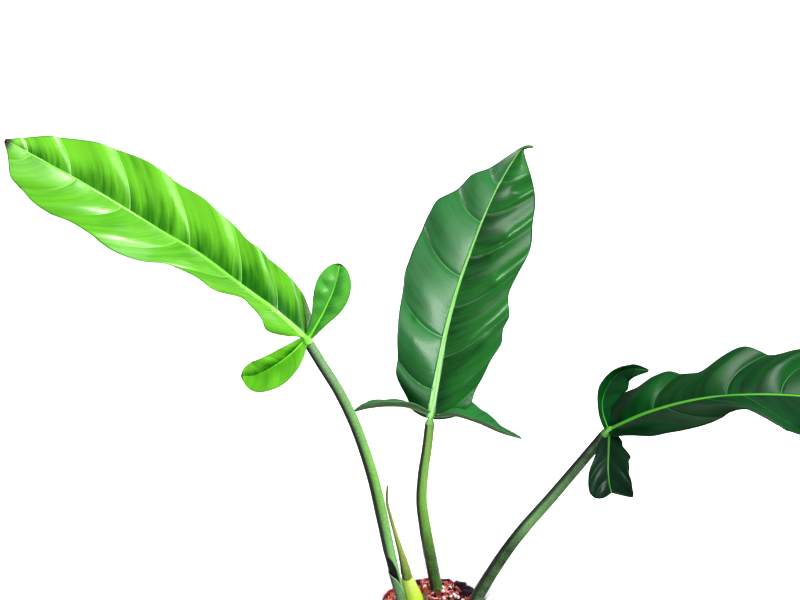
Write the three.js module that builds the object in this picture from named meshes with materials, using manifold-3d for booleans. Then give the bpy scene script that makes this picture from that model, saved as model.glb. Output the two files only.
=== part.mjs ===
// A young trilobed philodendron in a plain round nursery pot: three leaves on long petioles, a rolled new
// leaf in its sheath, and a chunky bark mix. Units are millimetres, +Z is up, and the origin is the middle of
// the pot's base. The front of the plant looks towards -Y.

import * as THREE from 'three';
import { mergeVertices } from 'three/addons/utils/BufferGeometryUtils.js';
import Module from 'manifold-3d';

const wasm = await Module();
wasm.setup();

const CLEARANCE = 0.3;
const BLADE_THICKNESS = 0.9;

const POT = {
  rimRadius: 52.5,
  baseRadius: 37.5,
  height: 92,
  wall: 1.5,
  floor: 2,
  footHeight: 3,
  footInset: 2,
  rimBand: 11,
  rimStep: 1.6,
  bead: { depth: 0.4, height: 2.5, rounding: 0.7 },
  lip: { width: 2.8, depth: 3 },
  segments: 48,
  holes: 6,
  holeRadius: 4.2,
  holeRing: 25,
  holeSides: 12,
  colour: 0xf4f4f7,
};

// The mix is a mound with crossed ripples (radians per millimetre) and crumbs, chips and grains in its top.
const SOIL = {
  edge: 71,
  mound: { height: 5.5, x: 6, y: 12, spread: 30 },
  ripple: { height: 1.1, first: [0.55, 0.6], second: [0.21, -0.33], secondShare: 0.6 },
  crumb: 1,
  rings: 6,
  chip: { count: 28, length: [5, 11], widthShare: [0.3, 0.6], depth: 7, tilt: 0.25, proud: [0.8, 2.2] },
  grain: { count: 22, radius: [1.5, 2.2], proud: 0.5 },
  margin: 7,
  seed: 11,
  colour: 0x5a2b20,
};

// What the long middle lobes of the three leaves share, and what the two small lobes at a leaf's base share.
const MEDIAN_LOBE = { roundEnd: 0, sweep: 0.3, arch: 0.08, quilt: 2.4, rib: 2.6, rows: 26, columns: 5 };
const BASAL_LOBE = {
  leftVeins: [0.35, 0.65],
  rightVeins: [0.35, 0.65],
  leftWaves: [],
  rightWaves: [],
  sweep: 0,
  arch: 0.1,
  quilt: 0.9,
  rib: 1.2,
  rows: 10,
  columns: 3,
};

// A wave of the margin reaches this share of the lobe's length. The raised midrib thins towards the tip, and
// the rows of points beside it lie just outside it, at most a share of the half width out.
const WAVE_SPREAD = 0.035;
const RIB = { taper: 0.8, edge: 0.5, widestShare: 0.4 };
const LEAST_HALF_WIDTH = 0.5;

// A lateral vein bends towards the tip by the half width times these factors of the share out and its square.
// The quilting between veins fades near the tip, near the midrib and where the lobe is narrow.
const VEIN_BEND = [0.45, 0.2];
const QUILT_FADE = { tip: 0.2, midrib: 0.625, narrow: 12 };

// The pale knob between petiole and lobes, as shares of its reach and of its radius.
const KNOB_PROFILE = { reach: [0.5, 1, 1.5], radius: [1, 0.9, 0.5] };

const ROUGHNESS = { pot: 0.45, soil: 0.95, stem: 0.5, newLeaf: 0.45, sheath: 0.4, dry: 0.8, blade: 0.3 };

// Petioles run from the buried end to just under the blade. Radii go from the base to the top.
const PETIOLES = {
  left: {
    path: [
      [-30, -9, 48], [-29, -8.5, 78], [-36, -9.5, 126], [-43, -13, 166],
      [-51, -17, 204], [-62, -21, 243], [-74, -25, 274], [-87, -28, 299], [-97, -30, 318],
    ],
    radii: [5.2, 4.5, 4.2, 4.0],
    steps: 20,
    sides: 10,
    colour: 0x7fb06a,
  },
  centre: {
    path: [
      [9, 24, 46], [4, 21, 73], [-2, 17, 107], [-7, 13, 138],
      [-10, 9, 165], [-9, 6, 190], [-6, 3, 216], [-4, 0, 239],
    ],
    radii: [4.7, 3.1],
    steps: 18,
    sides: 10,
    colour: 0x5f9a3c,
  },
  right: {
    path: [
      [20, -16, 47], [34, -26, 91], [44, -30, 115], [58, -35, 144],
      [72, -39, 168], [88, -43, 192], [107, -47, 221], [127, -50, 251],
    ],
    radii: [4.9, 4.0],
    steps: 18,
    sides: 10,
    colour: 0x2f6a35,
  },
};

// The left petiole's sheath opens as a slit that looks forward and to the right.
const SHEATH_SLIT = {
  middle: new THREE.Vector3(-32.4, -13.4, 112),
  halfSize: new THREE.Vector3(3.6, 4, 14),
  lean: 0.3,
  segments: [10, 8],
};

const NEW_LEAF = {
  path: [
    [-18, -6, 92], [-22, -7, 102], [-25, -8, 117], [-30, -9, 137],
    [-35.5, -8, 158], [-38.5, -7.5, 172], [-38.2, -7.5, 187],
  ],
  radii: [4.0, 4.1, 3.4, 2.3, 1.5, 1.0, 0.5],
  steps: 16,
  sides: 10,
  colour: 0x9bb04a,
};

const NEW_LEAF_SHEATH = {
  path: [[-13, -3, 50], [-14.5, -3.5, 70], [-16.2, -4, 80], [-19.3, -5.5, 91], [-22, -7, 101.5]],
  radii: [6.5, 8, 7.9, 6.4, 5.0],
  steps: 12,
  sides: 16,
  colour: 0xc6ea4a,
};

// A strip of dry sheath that stands on an arc, in degrees from +X. Heights are those of its torn top edge.
const OLD_SHEATH = {
  middle: new THREE.Vector2(-15, -4),
  radius: 10.2,
  flare: 1,
  bottom: 62,
  heights: [70, 76, 73, 81, 78, 84, 79, 85, 77, 80, 72, 69],
  arc: [-58, 62],
  colour: 0xb9a98c,
};

// A lobe is a list of stations from the petiole to the tip. Each has the midrib's place and, for the left and
// the right half as seen from the upper face with the tip up, the half width and the rise in degrees above
// flat. Veins are places along the midrib, from 0 to 1, where a lateral vein leaves it. Waves are places with
// the extra width of the margin there. A round end is the share of the length over which the tip is rounded.
const BLADES = {
  left: {
    colour: 0x5aa82a,
    knob: { reach: 5, radius: 4.6 },
    lobes: [
      {
        stations: [
          { at: [-99, -30, 322], left: [14, 10], right: [17, 5] },
          { at: [-123, -36, 347], left: [20, 34], right: [28, 12] },
          { at: [-148, -43, 370], left: [27, 44], right: [31, 18] },
          { at: [-172, -50, 393], left: [35, 36], right: [35, 20] },
          { at: [-197, -57, 412], left: [40, 24], right: [37, 20] },
          { at: [-221, -64, 431], left: [38, 20], right: [38, 20] },
          { at: [-244, -72, 449], left: [35, 6], right: [31, 18] },
          { at: [-267, -81, 466], left: [25, -4], right: [19, 12] },
          { at: [-289, -90, 482], left: [1, 0], right: [1, 0] },
        ],
        face: [0.58, -0.69, 0.43],
        leftVeins: [0.12, 0.28, 0.45, 0.63, 0.79, 0.92],
        rightVeins: [0.11, 0.25, 0.42, 0.61, 0.8, 0.93],
        leftWaves: [[0.02, -4], [0.1, 6], [0.2, -4], [0.29, 5]],
        rightWaves: [[0.06, 2], [0.28, 2]],
        ...MEDIAN_LOBE,
      },
      {
        stations: [
          { at: [-97, -30, 322], left: [3, 0], right: [4, 0] },
          { at: [-87, -27, 340], left: [8, 10], right: [9, 10] },
          { at: [-80, -22, 352], left: [13, 12], right: [15, 12] },
          { at: [-76, -17, 363], left: [16, 12], right: [14, 12] },
          { at: [-78, -12, 375], left: [14, 6], right: [12, 6] },
        ],
        face: [0.1, -0.92, 0.38],
        roundEnd: 0.45,
        ...BASAL_LOBE,
      },
      {
        stations: [
          { at: [-101, -31, 320], left: [4, 20], right: [4, 30] },
          { at: [-110, -38, 312], left: [12, 30], right: [11, 40] },
          { at: [-124, -46, 303], left: [17, 34], right: [17, 40] },
          { at: [-138, -53, 301], left: [16, 34], right: [16, 34] },
          { at: [-146, -57, 304], left: [13, 24], right: [13, 24] },
        ],
        face: [0.35, -0.78, 0.5],
        roundEnd: 0.4,
        ...BASAL_LOBE,
      },
    ],
  },
  centre: {
    colour: 0x2f7a34,
    knob: { reach: 4, radius: 3.7 },
    lobes: [
      {
        stations: [
          { at: [-4, 0, 243], left: [16, 10], right: [20, 10] },
          { at: [1, 6, 271], left: [32, 16], right: [36, 14] },
          { at: [6, 12, 299], left: [40, 20], right: [43, 18] },
          { at: [12, 19, 325], left: [43, 20], right: [45, 18] },
          { at: [20, 26, 351], left: [45, 18], right: [43, 20] },
          { at: [30, 33, 378], left: [42, 16], right: [42, 22] },
          { at: [40, 39, 403], left: [34, 14], right: [37, 22] },
          { at: [52, 44, 428], left: [17, 10], right: [26, 20] },
          { at: [66, 46, 451], left: [2, 0], right: [4, 0] },
          { at: [71, 43, 455], left: [1.2, 0], right: [1.2, 0] },
          { at: [76, 39, 456], left: [0.8, 0], right: [0.8, 0] },
        ],
        face: [-0.08, -0.96, 0.24],
        leftVeins: [0.1, 0.25, 0.43, 0.58, 0.7],
        rightVeins: [0.18, 0.33, 0.48, 0.61, 0.72],
        leftWaves: [[0.56, 3], [0.44, -1], [0.07, 6]],
        rightWaves: [[0.2, 4], [0.36, -3]],
        ...MEDIAN_LOBE,
      },
      {
        stations: [
          { at: [-6, -1, 248], left: [5, 20], right: [8, 20] },
          { at: [-22, -6, 256], left: [10, 16], right: [12, 18] },
          { at: [-37, -11, 259], left: [14, 16], right: [14, 16] },
          { at: [-52, -15, 259], left: [13, 16], right: [13, 16] },
          { at: [-64, -18, 257], left: [9, 10], right: [9, 10] },
        ],
        face: [0.05, 0.35, 0.93],
        roundEnd: 0.35,
        ...BASAL_LOBE,
      },
      {
        stations: [
          { at: [1, -1, 246], left: [9, 40], right: [4, 20] },
          { at: [16, -7, 249], left: [15, 40], right: [10, 30] },
          { at: [34, -12, 245], left: [15, 26], right: [13, 33] },
          { at: [51, -17, 239], left: [12, 8], right: [12, 33] },
          { at: [68, -20, 234], left: [8, 0], right: [8, 20] },
        ],
        face: [0.05, 0, 1],
        roundEnd: 0.35,
        ...BASAL_LOBE,
      },
    ],
  },
  right: {
    colour: 0x1f5a2c,
    knob: { reach: 4, radius: 4.4 },
    lobes: [
      {
        stations: [
          { at: [130, -50, 255], left: [22, 12], right: [12, 12] },
          { at: [162, -55, 273], left: [38, 8], right: [36, 6] },
          { at: [196, -63, 286], left: [43, 8], right: [44, 15] },
          { at: [231, -72, 293], left: [46, 10], right: [46, 26] },
          { at: [265, -81, 295], left: [46, 10], right: [46, 9] },
          { at: [299, -90, 290], left: [38, 10], right: [40, 12] },
          { at: [331, -98, 278], left: [22, 8], right: [24, 10] },
          { at: [358, -105, 261], left: [1, 0], right: [1, 0] },
        ],
        face: [-0.29, -0.19, 0.93],
        leftVeins: [0.14, 0.25, 0.35, 0.5, 0.64, 0.77, 0.89],
        rightVeins: [0.18, 0.3, 0.42, 0.56, 0.7, 0.83, 0.93],
        leftWaves: [[0.2, -7], [0.34, 5], [0.6, -2]],
        rightWaves: [[0.12, 3], [0.4, -6], [0.6, 5], [0.68, 4]],
        ...MEDIAN_LOBE,
      },
      {
        stations: [
          { at: [129, -49, 257], left: [3, 10], right: [3, 10] },
          { at: [125, -45, 270], left: [8, 25], right: [8, 25] },
          { at: [127, -40, 282], left: [12, 35], right: [12, 35] },
          { at: [135, -36, 294], left: [13, 35], right: [13, 35] },
          { at: [146, -36, 300], left: [9, 25], right: [9, 25] },
          { at: [160, -38, 299], left: [1, 0], right: [1, 0] },
        ],
        face: [0.75, -0.6, -0.1],
        roundEnd: 0,
        ...BASAL_LOBE,
      },
      {
        stations: [
          { at: [130, -52, 251], left: [8, 10], right: [5, 10] },
          { at: [129, -60, 242], left: [15, 10], right: [9, 10] },
          { at: [128, -67, 232], left: [18, 8], right: [14, 8] },
          { at: [129, -72, 221], left: [17, 6], right: [15, 0] },
          { at: [132, -74, 211], left: [16, 0], right: [11, -10] },
        ],
        face: [-0.1, -0.75, 0.65],
        roundEnd: 0.08,
        ...BASAL_LOBE,
      },
    ],
  },
};

/** Repeatable draws between 0 and 1. */
function drawsFrom(seed) {
  let state = seed;
  return () => {
    state = (state + 0x6d2b79f5) | 0;
    let mixed = Math.imul(state ^ (state >>> 15), 1 | state);
    mixed = (mixed + Math.imul(mixed ^ (mixed >>> 7), 61 | mixed)) ^ mixed;
    return ((mixed ^ (mixed >>> 14)) >>> 0) / 4294967296;
  };
}

const between = ([low, high], share) => low + (high - low) * share;

/** A draw from -reach to reach. */
const eitherWay = (draw, reach) => (draw() * 2 - 1) * reach;

const curveThrough = (points) =>
  new THREE.CatmullRomCurve3(points.map((p) => new THREE.Vector3(...p)), false, 'catmullrom');

/** A closed geometry from points and triangles, turned so that its faces look outwards. */
function closedGeometry(points, triangles) {
  const volume = triangles.reduce(
    (sum, [a, b, c]) => sum + points[a].dot(new THREE.Vector3().crossVectors(points[b], points[c])),
    0,
  );
  const outward = volume > 0 ? triangles : triangles.map(([a, b, c]) => [a, c, b]);
  const geometry = new THREE.BufferGeometry();
  geometry.setAttribute('position', new THREE.Float32BufferAttribute(points.flatMap((p) => p.toArray()), 3));
  geometry.setIndex(outward.flat());
  return geometry;
}

/** A closed geometry as a solid that can be cut and joined. */
function toSolid(geometry) {
  const bare = geometry.clone();
  bare.deleteAttribute('normal');
  bare.deleteAttribute('uv');
  const merged = mergeVertices(bare);
  return new wasm.Manifold(
    new wasm.Mesh({
      numProp: 3,
      vertProperties: new Float32Array(merged.attributes.position.array),
      triVerts: new Uint32Array(merged.index.array),
    }),
  );
}

/** A solid as a geometry again. */
function toGeometry(solid) {
  const mesh = solid.getMesh();
  const geometry = new THREE.BufferGeometry();
  geometry.setAttribute('position', new THREE.BufferAttribute(new Float32Array(mesh.vertProperties), 3));
  geometry.setIndex(new THREE.BufferAttribute(new Uint32Array(mesh.triVerts), 1));
  return geometry;
}

const joined = (solids) => solids.reduce((whole, solid) => whole.add(solid));

/** A round stem along a curve, with flat ends. radiusAt gives the radius for 0 to 1 along it. */
function stemGeometry(curve, radiusAt, steps, sides) {
  const frames = curve.computeFrenetFrames(steps, false);
  const points = [];
  for (let i = 0; i <= steps; i += 1) {
    const middle = curve.getPointAt(i / steps);
    const radius = radiusAt(i / steps);
    for (let j = 0; j < sides; j += 1) {
      const angle = (j / sides) * Math.PI * 2;
      points.push(
        middle.clone()
          .addScaledVector(frames.normals[i], Math.cos(angle) * radius)
          .addScaledVector(frames.binormals[i], Math.sin(angle) * radius),
      );
    }
  }
  const triangles = [];
  for (let i = 0; i < steps; i += 1) {
    for (let j = 0; j < sides; j += 1) {
      const next = (j + 1) % sides;
      const [a, b, c, d] = [i * sides + j, i * sides + next, (i + 1) * sides + next, (i + 1) * sides + j];
      triangles.push([a, b, c], [a, c, d]);
    }
  }
  for (let j = 1; j < sides - 1; j += 1) {
    const last = steps * sides;
    triangles.push([0, j + 1, j], [last, last + j, last + j + 1]);
  }
  return closedGeometry(points, triangles);
}

/** A radius that runs through evenly spaced values. */
function radiusThrough(radii, extra = 0) {
  return (share) => {
    const place = share * (radii.length - 1);
    const index = Math.min(Math.floor(place), radii.length - 2);
    return between([radii[index], radii[index + 1]], place - index) + extra;
  };
}

/** A curve through points, with both ends lengthened. */
function lengthened(points, extra) {
  const curve = curveThrough(points);
  curve.points[0].addScaledVector(curve.getTangent(0), -extra);
  curve.points.at(-1).addScaledVector(curve.getTangent(1), extra);
  return curve;
}

/** Height of the cushion between lateral veins, 0 on a vein and 1 half way to the next. */
function cushion(veins, place) {
  const marks = [0, ...veins, 1];
  const index = marks.findIndex((mark, i) => i > 0 && place <= mark);
  if (index < 1) {
    return 0;
  }
  const share = (place - marks[index - 1]) / (marks[index] - marks[index - 1]);
  return Math.sin(Math.PI * THREE.MathUtils.clamp(share, 0, 1));
}

/** The curves that a lobe's surface is read from. */
function lobeCurves(lobe) {
  const midrib = curveThrough(lobe.stations.map((station) => station.at));
  const half = (name) => curveThrough(lobe.stations.map((station) => [...station[name], 0]));
  return { midrib, left: half('left'), right: half('right'), length: midrib.getLength() };
}

/** How far the margin lies from the midrib, with its waves and its round end. */
function halfWidth(lobe, curves, along, across) {
  const width = (across < 0 ? curves.left : curves.right).getPoint(along).x;
  let extra = 0;
  for (const [place, size] of across < 0 ? lobe.leftWaves : lobe.rightWaves) {
    extra += size * Math.exp(-(((along - place) / WAVE_SPREAD) ** 2));
  }
  const past = lobe.roundEnd ? Math.max(0, (along - 1 + lobe.roundEnd) / lobe.roundEnd) : 0;
  return Math.max(LEAST_HALF_WIDTH, (width + extra) * Math.sqrt(1 - Math.min(1, past * past)));
}

/** Where a lobe's middle surface lies, along from 0 to 1 and across from -1 (left margin) to 1 (right). */
function lobePoint(lobe, curves, along, across) {
  const middle = curves.midrib.getPoint(along);
  const forward = curves.midrib.getTangent(along);
  const face = new THREE.Vector3(...lobe.face);
  const up = face.addScaledVector(forward, -face.dot(forward)).normalize();
  const side = new THREE.Vector3().crossVectors(forward, up);
  const out = Math.abs(across);
  const half = (across < 0 ? curves.left : curves.right).getPoint(along);
  const width = halfWidth(lobe, curves, along, across);
  const rise = THREE.MathUtils.degToRad(half.y);
  const veins = across < 0 ? lobe.leftVeins : lobe.rightVeins;
  const veinShift = (width / curves.length) * (VEIN_BEND[0] * out + VEIN_BEND[1] * out * out);
  const swell = cushion(veins, along - veinShift) - 0.5;
  const nearTip = Math.min(1, (1 - along) / QUILT_FADE.tip);
  const fade = nearTip * Math.min(1, out / QUILT_FADE.midrib) * Math.min(1, width / QUILT_FADE.narrow);
  const lift = width * (out * Math.sin(rise) + lobe.arch * out * (1 - out)) + lobe.quilt * swell * fade;
  return middle
    .addScaledVector(side, Math.sign(across) * out * width * Math.cos(rise))
    .addScaledVector(up, lift)
    .addScaledVector(forward, lobe.sweep * width * out * out);
}

/** Which way a lobe's upper face looks at a point, from its neighbours on the surface. */
function lobeNormal(lobe, curves, along, across) {
  const step = 0.01;
  const reach = (value, low) => [Math.max(value - step, low), Math.min(value + step, 1)];
  const [a0, a1] = reach(along, 0);
  const [c0, c1] = reach(across, -1);
  const down = lobePoint(lobe, curves, a1, across).sub(lobePoint(lobe, curves, a0, across));
  const over = lobePoint(lobe, curves, along, c1).sub(lobePoint(lobe, curves, along, c0));
  return over.cross(down).normalize();
}

/** A lobe as one thin closed solid with its midrib raised below. */
function lobeSolid(lobe) {
  const curves = lobeCurves(lobe);
  const top = [];
  const bottom = [];
  for (let row = 0; row <= lobe.rows; row += 1) {
    const share = row / lobe.rows;
    const along = lobe.roundEnd ? Math.sin((share * Math.PI) / 2) : share;
    const ribDepth = lobe.rib * (1 - RIB.taper * along);
    for (let column = -lobe.columns; column <= lobe.columns; column += 1) {
      const width = halfWidth(lobe, curves, along, column);
      const ribShare = Math.min((RIB.edge + ribDepth) / width, RIB.widestShare);
      const outward = Math.abs(column);
      const out = outward === 0 ? 0 : ribShare + ((1 - ribShare) * (outward - 1)) / (lobe.columns - 1);
      const across = Math.sign(column) * out;
      const point = lobePoint(lobe, curves, along, across);
      const normal = lobeNormal(lobe, curves, along, across);
      const below = BLADE_THICKNESS / 2 + (column === 0 ? ribDepth : 0);
      top.push(point.clone().addScaledVector(normal, BLADE_THICKNESS / 2));
      bottom.push(point.clone().addScaledVector(normal, -below));
    }
  }
  const wide = 2 * lobe.columns + 1;
  const count = top.length;
  const triangles = [];
  const quad = (a, b, c, d) => triangles.push([a, b, c], [a, c, d]);
  for (let row = 0; row < lobe.rows; row += 1) {
    for (let column = 0; column < wide - 1; column += 1) {
      const a = row * wide + column;
      triangles.push([a, a + 1, a + wide], [a + 1, a + wide + 1, a + wide]);
      triangles.push([count + a, count + a + wide, count + a + 1]);
      triangles.push([count + a + 1, count + a + wide, count + a + wide + 1]);
    }
    const left = row * wide;
    const right = left + wide - 1;
    quad(left, left + wide, count + left + wide, count + left);
    quad(right, count + right, count + right + wide, right + wide);
  }
  for (let column = 0; column < wide - 1; column += 1) {
    const last = lobe.rows * wide + column;
    quad(column, count + column, count + column + 1, column + 1);
    quad(last, last + 1, count + last + 1, count + last);
  }
  return toSolid(closedGeometry([...top, ...bottom], triangles));
}

/** A leaf blade: its three lobes and the pale knob where they meet the petiole. */
function bladeGeometry(blade, petiole) {
  const curve = curveThrough(petiole.path);
  const end = curve.getPointAt(1);
  const forward = curve.getTangentAt(1);
  const { reach, radius } = blade.knob;
  const places = [CLEARANCE, ...KNOB_PROFILE.reach.map((share) => share * reach)];
  const knobPath = curveThrough(places.map((place) => end.clone().addScaledVector(forward, place).toArray()));
  const knobRadii = [petiole.radii.at(-1), ...KNOB_PROFILE.radius.map((share) => share * radius)];
  const knob = toSolid(stemGeometry(knobPath, radiusThrough(knobRadii), places.length, petiole.sides));
  const leaf = joined([knob, ...blade.lobes.map(lobeSolid)]);
  return toGeometry(leaf.subtract(stemSolid(petiole, CLEARANCE)));
}

/** A stem as a solid, or the room that it needs with its clearance all round. */
function stemSolid(stem, extra = 0) {
  const curve = lengthened(stem.path, extra);
  return toSolid(stemGeometry(curve, radiusThrough(stem.radii, extra), stem.steps, stem.sides));
}

/** The left petiole with the slit of its sheath cut in. */
function leftPetioleGeometry() {
  const slit = new THREE.SphereGeometry(1, ...SHEATH_SLIT.segments);
  slit.scale(...SHEATH_SLIT.halfSize.toArray());
  slit.rotateY(-SHEATH_SLIT.lean);
  slit.translate(...SHEATH_SLIT.middle.toArray());
  return toGeometry(stemSolid(PETIOLES.left).subtract(toSolid(slit)));
}

/** A curled strip of dry sheath with a torn top edge, standing round the new leaf's sheath. */
function oldSheathSolid(extra = 0) {
  const { middle, radius: inner, flare, bottom, heights, arc } = OLD_SHEATH;
  const outer = inner + BLADE_THICKNESS;
  const steps = heights.length - 1;
  const spread = THREE.MathUtils.radToDeg(extra / inner);
  const points = [];
  for (const [index, height] of heights.entries()) {
    const angle = THREE.MathUtils.degToRad(between([arc[0] - spread, arc[1] + spread], index / steps));
    const [x, y] = [Math.cos(angle), Math.sin(angle)];
    for (const [radius, z] of [
      [inner - extra, bottom - extra],
      [outer + extra, bottom - extra],
      [outer + extra + flare, height + extra],
      [inner - extra + flare, height + extra],
    ]) {
      points.push(new THREE.Vector3(middle.x + radius * x, middle.y + radius * y, z));
    }
  }
  const triangles = [];
  for (let i = 0; i < steps; i += 1) {
    for (let j = 0; j < 4; j += 1) {
      const next = (j + 1) % 4;
      const [a, b, c, d] = [i * 4 + j, i * 4 + next, (i + 1) * 4 + next, (i + 1) * 4 + j];
      triangles.push([a, b, c], [a, c, d]);
    }
  }
  const last = steps * 4;
  triangles.push([0, 2, 1], [0, 3, 2], [last, last + 1, last + 2], [last, last + 2, last + 3]);
  return toSolid(closedGeometry(points, triangles));
}

/** The radius of the pot's inner wall at a height. */
function innerRadius(height) {
  const share = (height - POT.footHeight) / (POT.height - POT.rimBand - POT.footHeight);
  const outer = between([POT.baseRadius, POT.rimRadius - POT.rimStep], Math.min(share, 1));
  return outer - POT.wall;
}

/** The pot, turned from its profile, with a stepped rim band, a bead and drainage holes in its floor. */
function potGeometry() {
  const { rimRadius, baseRadius, height, floor, footHeight, footInset, rimBand, rimStep, bead, lip } = POT;
  const shoulder = height - rimBand;
  const band = rimRadius - bead.depth;
  const beadFoot = height - bead.height;
  const mouth = rimRadius - lip.width;
  const profile = [
    [0, 0],
    [baseRadius - footInset, 0],
    [baseRadius, footHeight],
    [rimRadius - rimStep, shoulder - rimStep],
    [band, shoulder],
    [band, beadFoot - bead.rounding],
    [rimRadius, beadFoot],
    [rimRadius, height - bead.rounding],
    [rimRadius - bead.rounding, height],
    [mouth + bead.rounding, height],
    [mouth, height - bead.rounding],
    [mouth, height - lip.depth],
    [innerRadius(shoulder), shoulder],
    [innerRadius(footHeight + footInset), footHeight + footInset],
    [innerRadius(footHeight) - footInset, floor],
    [0, floor],
  ].map(([x, y]) => new THREE.Vector2(x, y));
  const body = new THREE.LatheGeometry(profile, POT.segments);
  body.rotateX(Math.PI / 2);
  const holes = [];
  for (let i = 0; i < POT.holes; i += 1) {
    const angle = (i / POT.holes) * Math.PI * 2;
    const hole = new THREE.CylinderGeometry(POT.holeRadius, POT.holeRadius, 3 * floor, POT.holeSides);
    hole.rotateX(Math.PI / 2);
    hole.translate(Math.cos(angle) * POT.holeRing, Math.sin(angle) * POT.holeRing, floor / 2);
    holes.push(toSolid(hole));
  }
  return toGeometry(holes.reduce((pot, hole) => pot.subtract(hole), toSolid(body)));
}

/** How high the bark mix stands at a place. */
function soilHeight(x, y) {
  const { edge, mound, ripple } = SOIL;
  const fromMound = Math.hypot(x - mound.x, y - mound.y) / mound.spread;
  const first = Math.sin(x * ripple.first[0]) * Math.cos(y * ripple.first[1]);
  const second = Math.sin(x * ripple.second[0] + y * ripple.second[1]);
  const rise = mound.height * Math.exp(-fromMound * fromMound);
  return edge + rise + ripple.height * (first + ripple.secondShare * second);
}

/** The mix without its chips and grains: a rippled top on rings of points, and a tapered body below. */
function soilBody(draw) {
  const count = POT.segments;
  const points = [new THREE.Vector3(0, 0, soilHeight(0, 0))];
  const topRadius = innerRadius(SOIL.edge) - CLEARANCE * 2;
  for (let ring = 1; ring <= SOIL.rings; ring += 1) {
    for (let i = 0; i < count; i += 1) {
      const inside = ring < SOIL.rings;
      const angle = ((i + (inside ? (ring % 2) / 2 : 0)) / count) * Math.PI * 2;
      const radius = (topRadius * ring) / SOIL.rings;
      const x = radius * Math.cos(angle);
      const y = radius * Math.sin(angle);
      points.push(new THREE.Vector3(x, y, soilHeight(x, y) + (inside ? eitherWay(draw, SOIL.crumb) : 0)));
    }
  }
  const foot = POT.footHeight + POT.footInset + CLEARANCE;
  const footRadius = innerRadius(foot) - CLEARANCE * 2;
  for (let i = 0; i < count; i += 1) {
    const angle = (i / count) * Math.PI * 2;
    points.push(new THREE.Vector3(footRadius * Math.cos(angle), footRadius * Math.sin(angle), foot));
  }
  points.push(new THREE.Vector3(0, 0, foot));
  const triangles = [];
  const last = points.length - 1;
  for (let i = 0; i < count; i += 1) {
    const next = (i + 1) % count;
    triangles.push([0, 1 + i, 1 + next]);
    for (let ring = 0; ring < SOIL.rings; ring += 1) {
      const [a, b] = [1 + ring * count + i, 1 + ring * count + next];
      triangles.push([a, a + count, b + count], [a, b + count, b]);
    }
    triangles.push([last, last - count + next, last - count + i]);
  }
  return toSolid(closedGeometry(points, triangles));
}

/** Bark chips lying in the top of the mix, and white grains among them, each sunk well in. */
function soilPieces(draw) {
  const { chip, grain } = SOIL;
  const pieces = [];
  const scatter = (shape, proud) => {
    const radius = (innerRadius(SOIL.edge) - SOIL.margin) * Math.sqrt(draw());
    const angle = draw() * Math.PI * 2;
    const [x, y] = [radius * Math.cos(angle), radius * Math.sin(angle)];
    shape.rotateZ(draw() * Math.PI);
    shape.translate(x, y, soilHeight(x, y) + proud);
    pieces.push(toSolid(shape));
  };
  for (let i = 0; i < chip.count; i += 1) {
    const length = between(chip.length, draw());
    const shape = new THREE.BoxGeometry(length, length * between(chip.widthShare, draw()), chip.depth);
    shape.translate(0, 0, -chip.depth / 2);
    shape.rotateX(eitherWay(draw, chip.tilt));
    shape.rotateY(eitherWay(draw, chip.tilt));
    scatter(shape, between(chip.proud, draw()));
  }
  for (let i = 0; i < grain.count; i += 1) {
    scatter(new THREE.IcosahedronGeometry(between(grain.radius, draw()), 0), grain.proud);
  }
  return pieces;
}

/** The whole mix, with room for each stem and sheath that stands in it. */
function soilGeometry() {
  const draw = drawsFrom(SOIL.seed);
  const filled = joined([soilBody(draw), ...soilPieces(draw)]);
  const holes = [
    ...Object.values(PETIOLES).map((petiole) => stemSolid(petiole, CLEARANCE)),
    stemSolid(NEW_LEAF_SHEATH, CLEARANCE),
    oldSheathSolid(CLEARANCE),
  ];
  return toGeometry(holes.reduce((soil, hole) => soil.subtract(hole), filled));
}

/** A named mesh in its own plain material. */
function piece(name, geometry, colour, roughness) {
  const flat = geometry.index ? geometry.toNonIndexed() : geometry;
  flat.computeVertexNormals();
  const finish = new THREE.MeshStandardMaterial({ color: colour, roughness, metalness: 0 });
  const mesh = new THREE.Mesh(flat, finish);
  mesh.name = name;
  return mesh;
}

const newLeafSheath = stemSolid(NEW_LEAF_SHEATH).subtract(stemSolid(NEW_LEAF, CLEARANCE));
const plant = new THREE.Group();
plant.add(
  piece('pot', potGeometry(), POT.colour, ROUGHNESS.pot),
  piece('soil', soilGeometry(), SOIL.colour, ROUGHNESS.soil),
  piece('petiole_left', leftPetioleGeometry(), PETIOLES.left.colour, ROUGHNESS.stem),
  piece('petiole_centre', toGeometry(stemSolid(PETIOLES.centre)), PETIOLES.centre.colour, ROUGHNESS.stem),
  piece('petiole_right', toGeometry(stemSolid(PETIOLES.right)), PETIOLES.right.colour, ROUGHNESS.stem),
  piece('new_leaf', toGeometry(stemSolid(NEW_LEAF)), NEW_LEAF.colour, ROUGHNESS.newLeaf),
  piece('new_leaf_sheath', toGeometry(newLeafSheath), NEW_LEAF_SHEATH.colour, ROUGHNESS.sheath),
  piece('old_sheath', toGeometry(oldSheathSolid()), OLD_SHEATH.colour, ROUGHNESS.dry),
);
for (const [side, blade] of Object.entries(BLADES)) {
  plant.add(piece(`blade_${side}`, bladeGeometry(blade, PETIOLES[side]), blade.colour, ROUGHNESS.blade));
}

export default plant;
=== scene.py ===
"""A young trilobed philodendron in a nursery pot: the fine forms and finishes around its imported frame.

The frame's axes hold here too: +Z is up, the front of the plant looks towards -Y and the origin is the middle of
the pot's base. Blender's lengths are metres. Paths, stations and radii repeat the solids' own, in millimetres.
"""

import logging
import math
from collections.abc import Sequence
from dataclasses import dataclass, field
from enum import Enum

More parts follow.
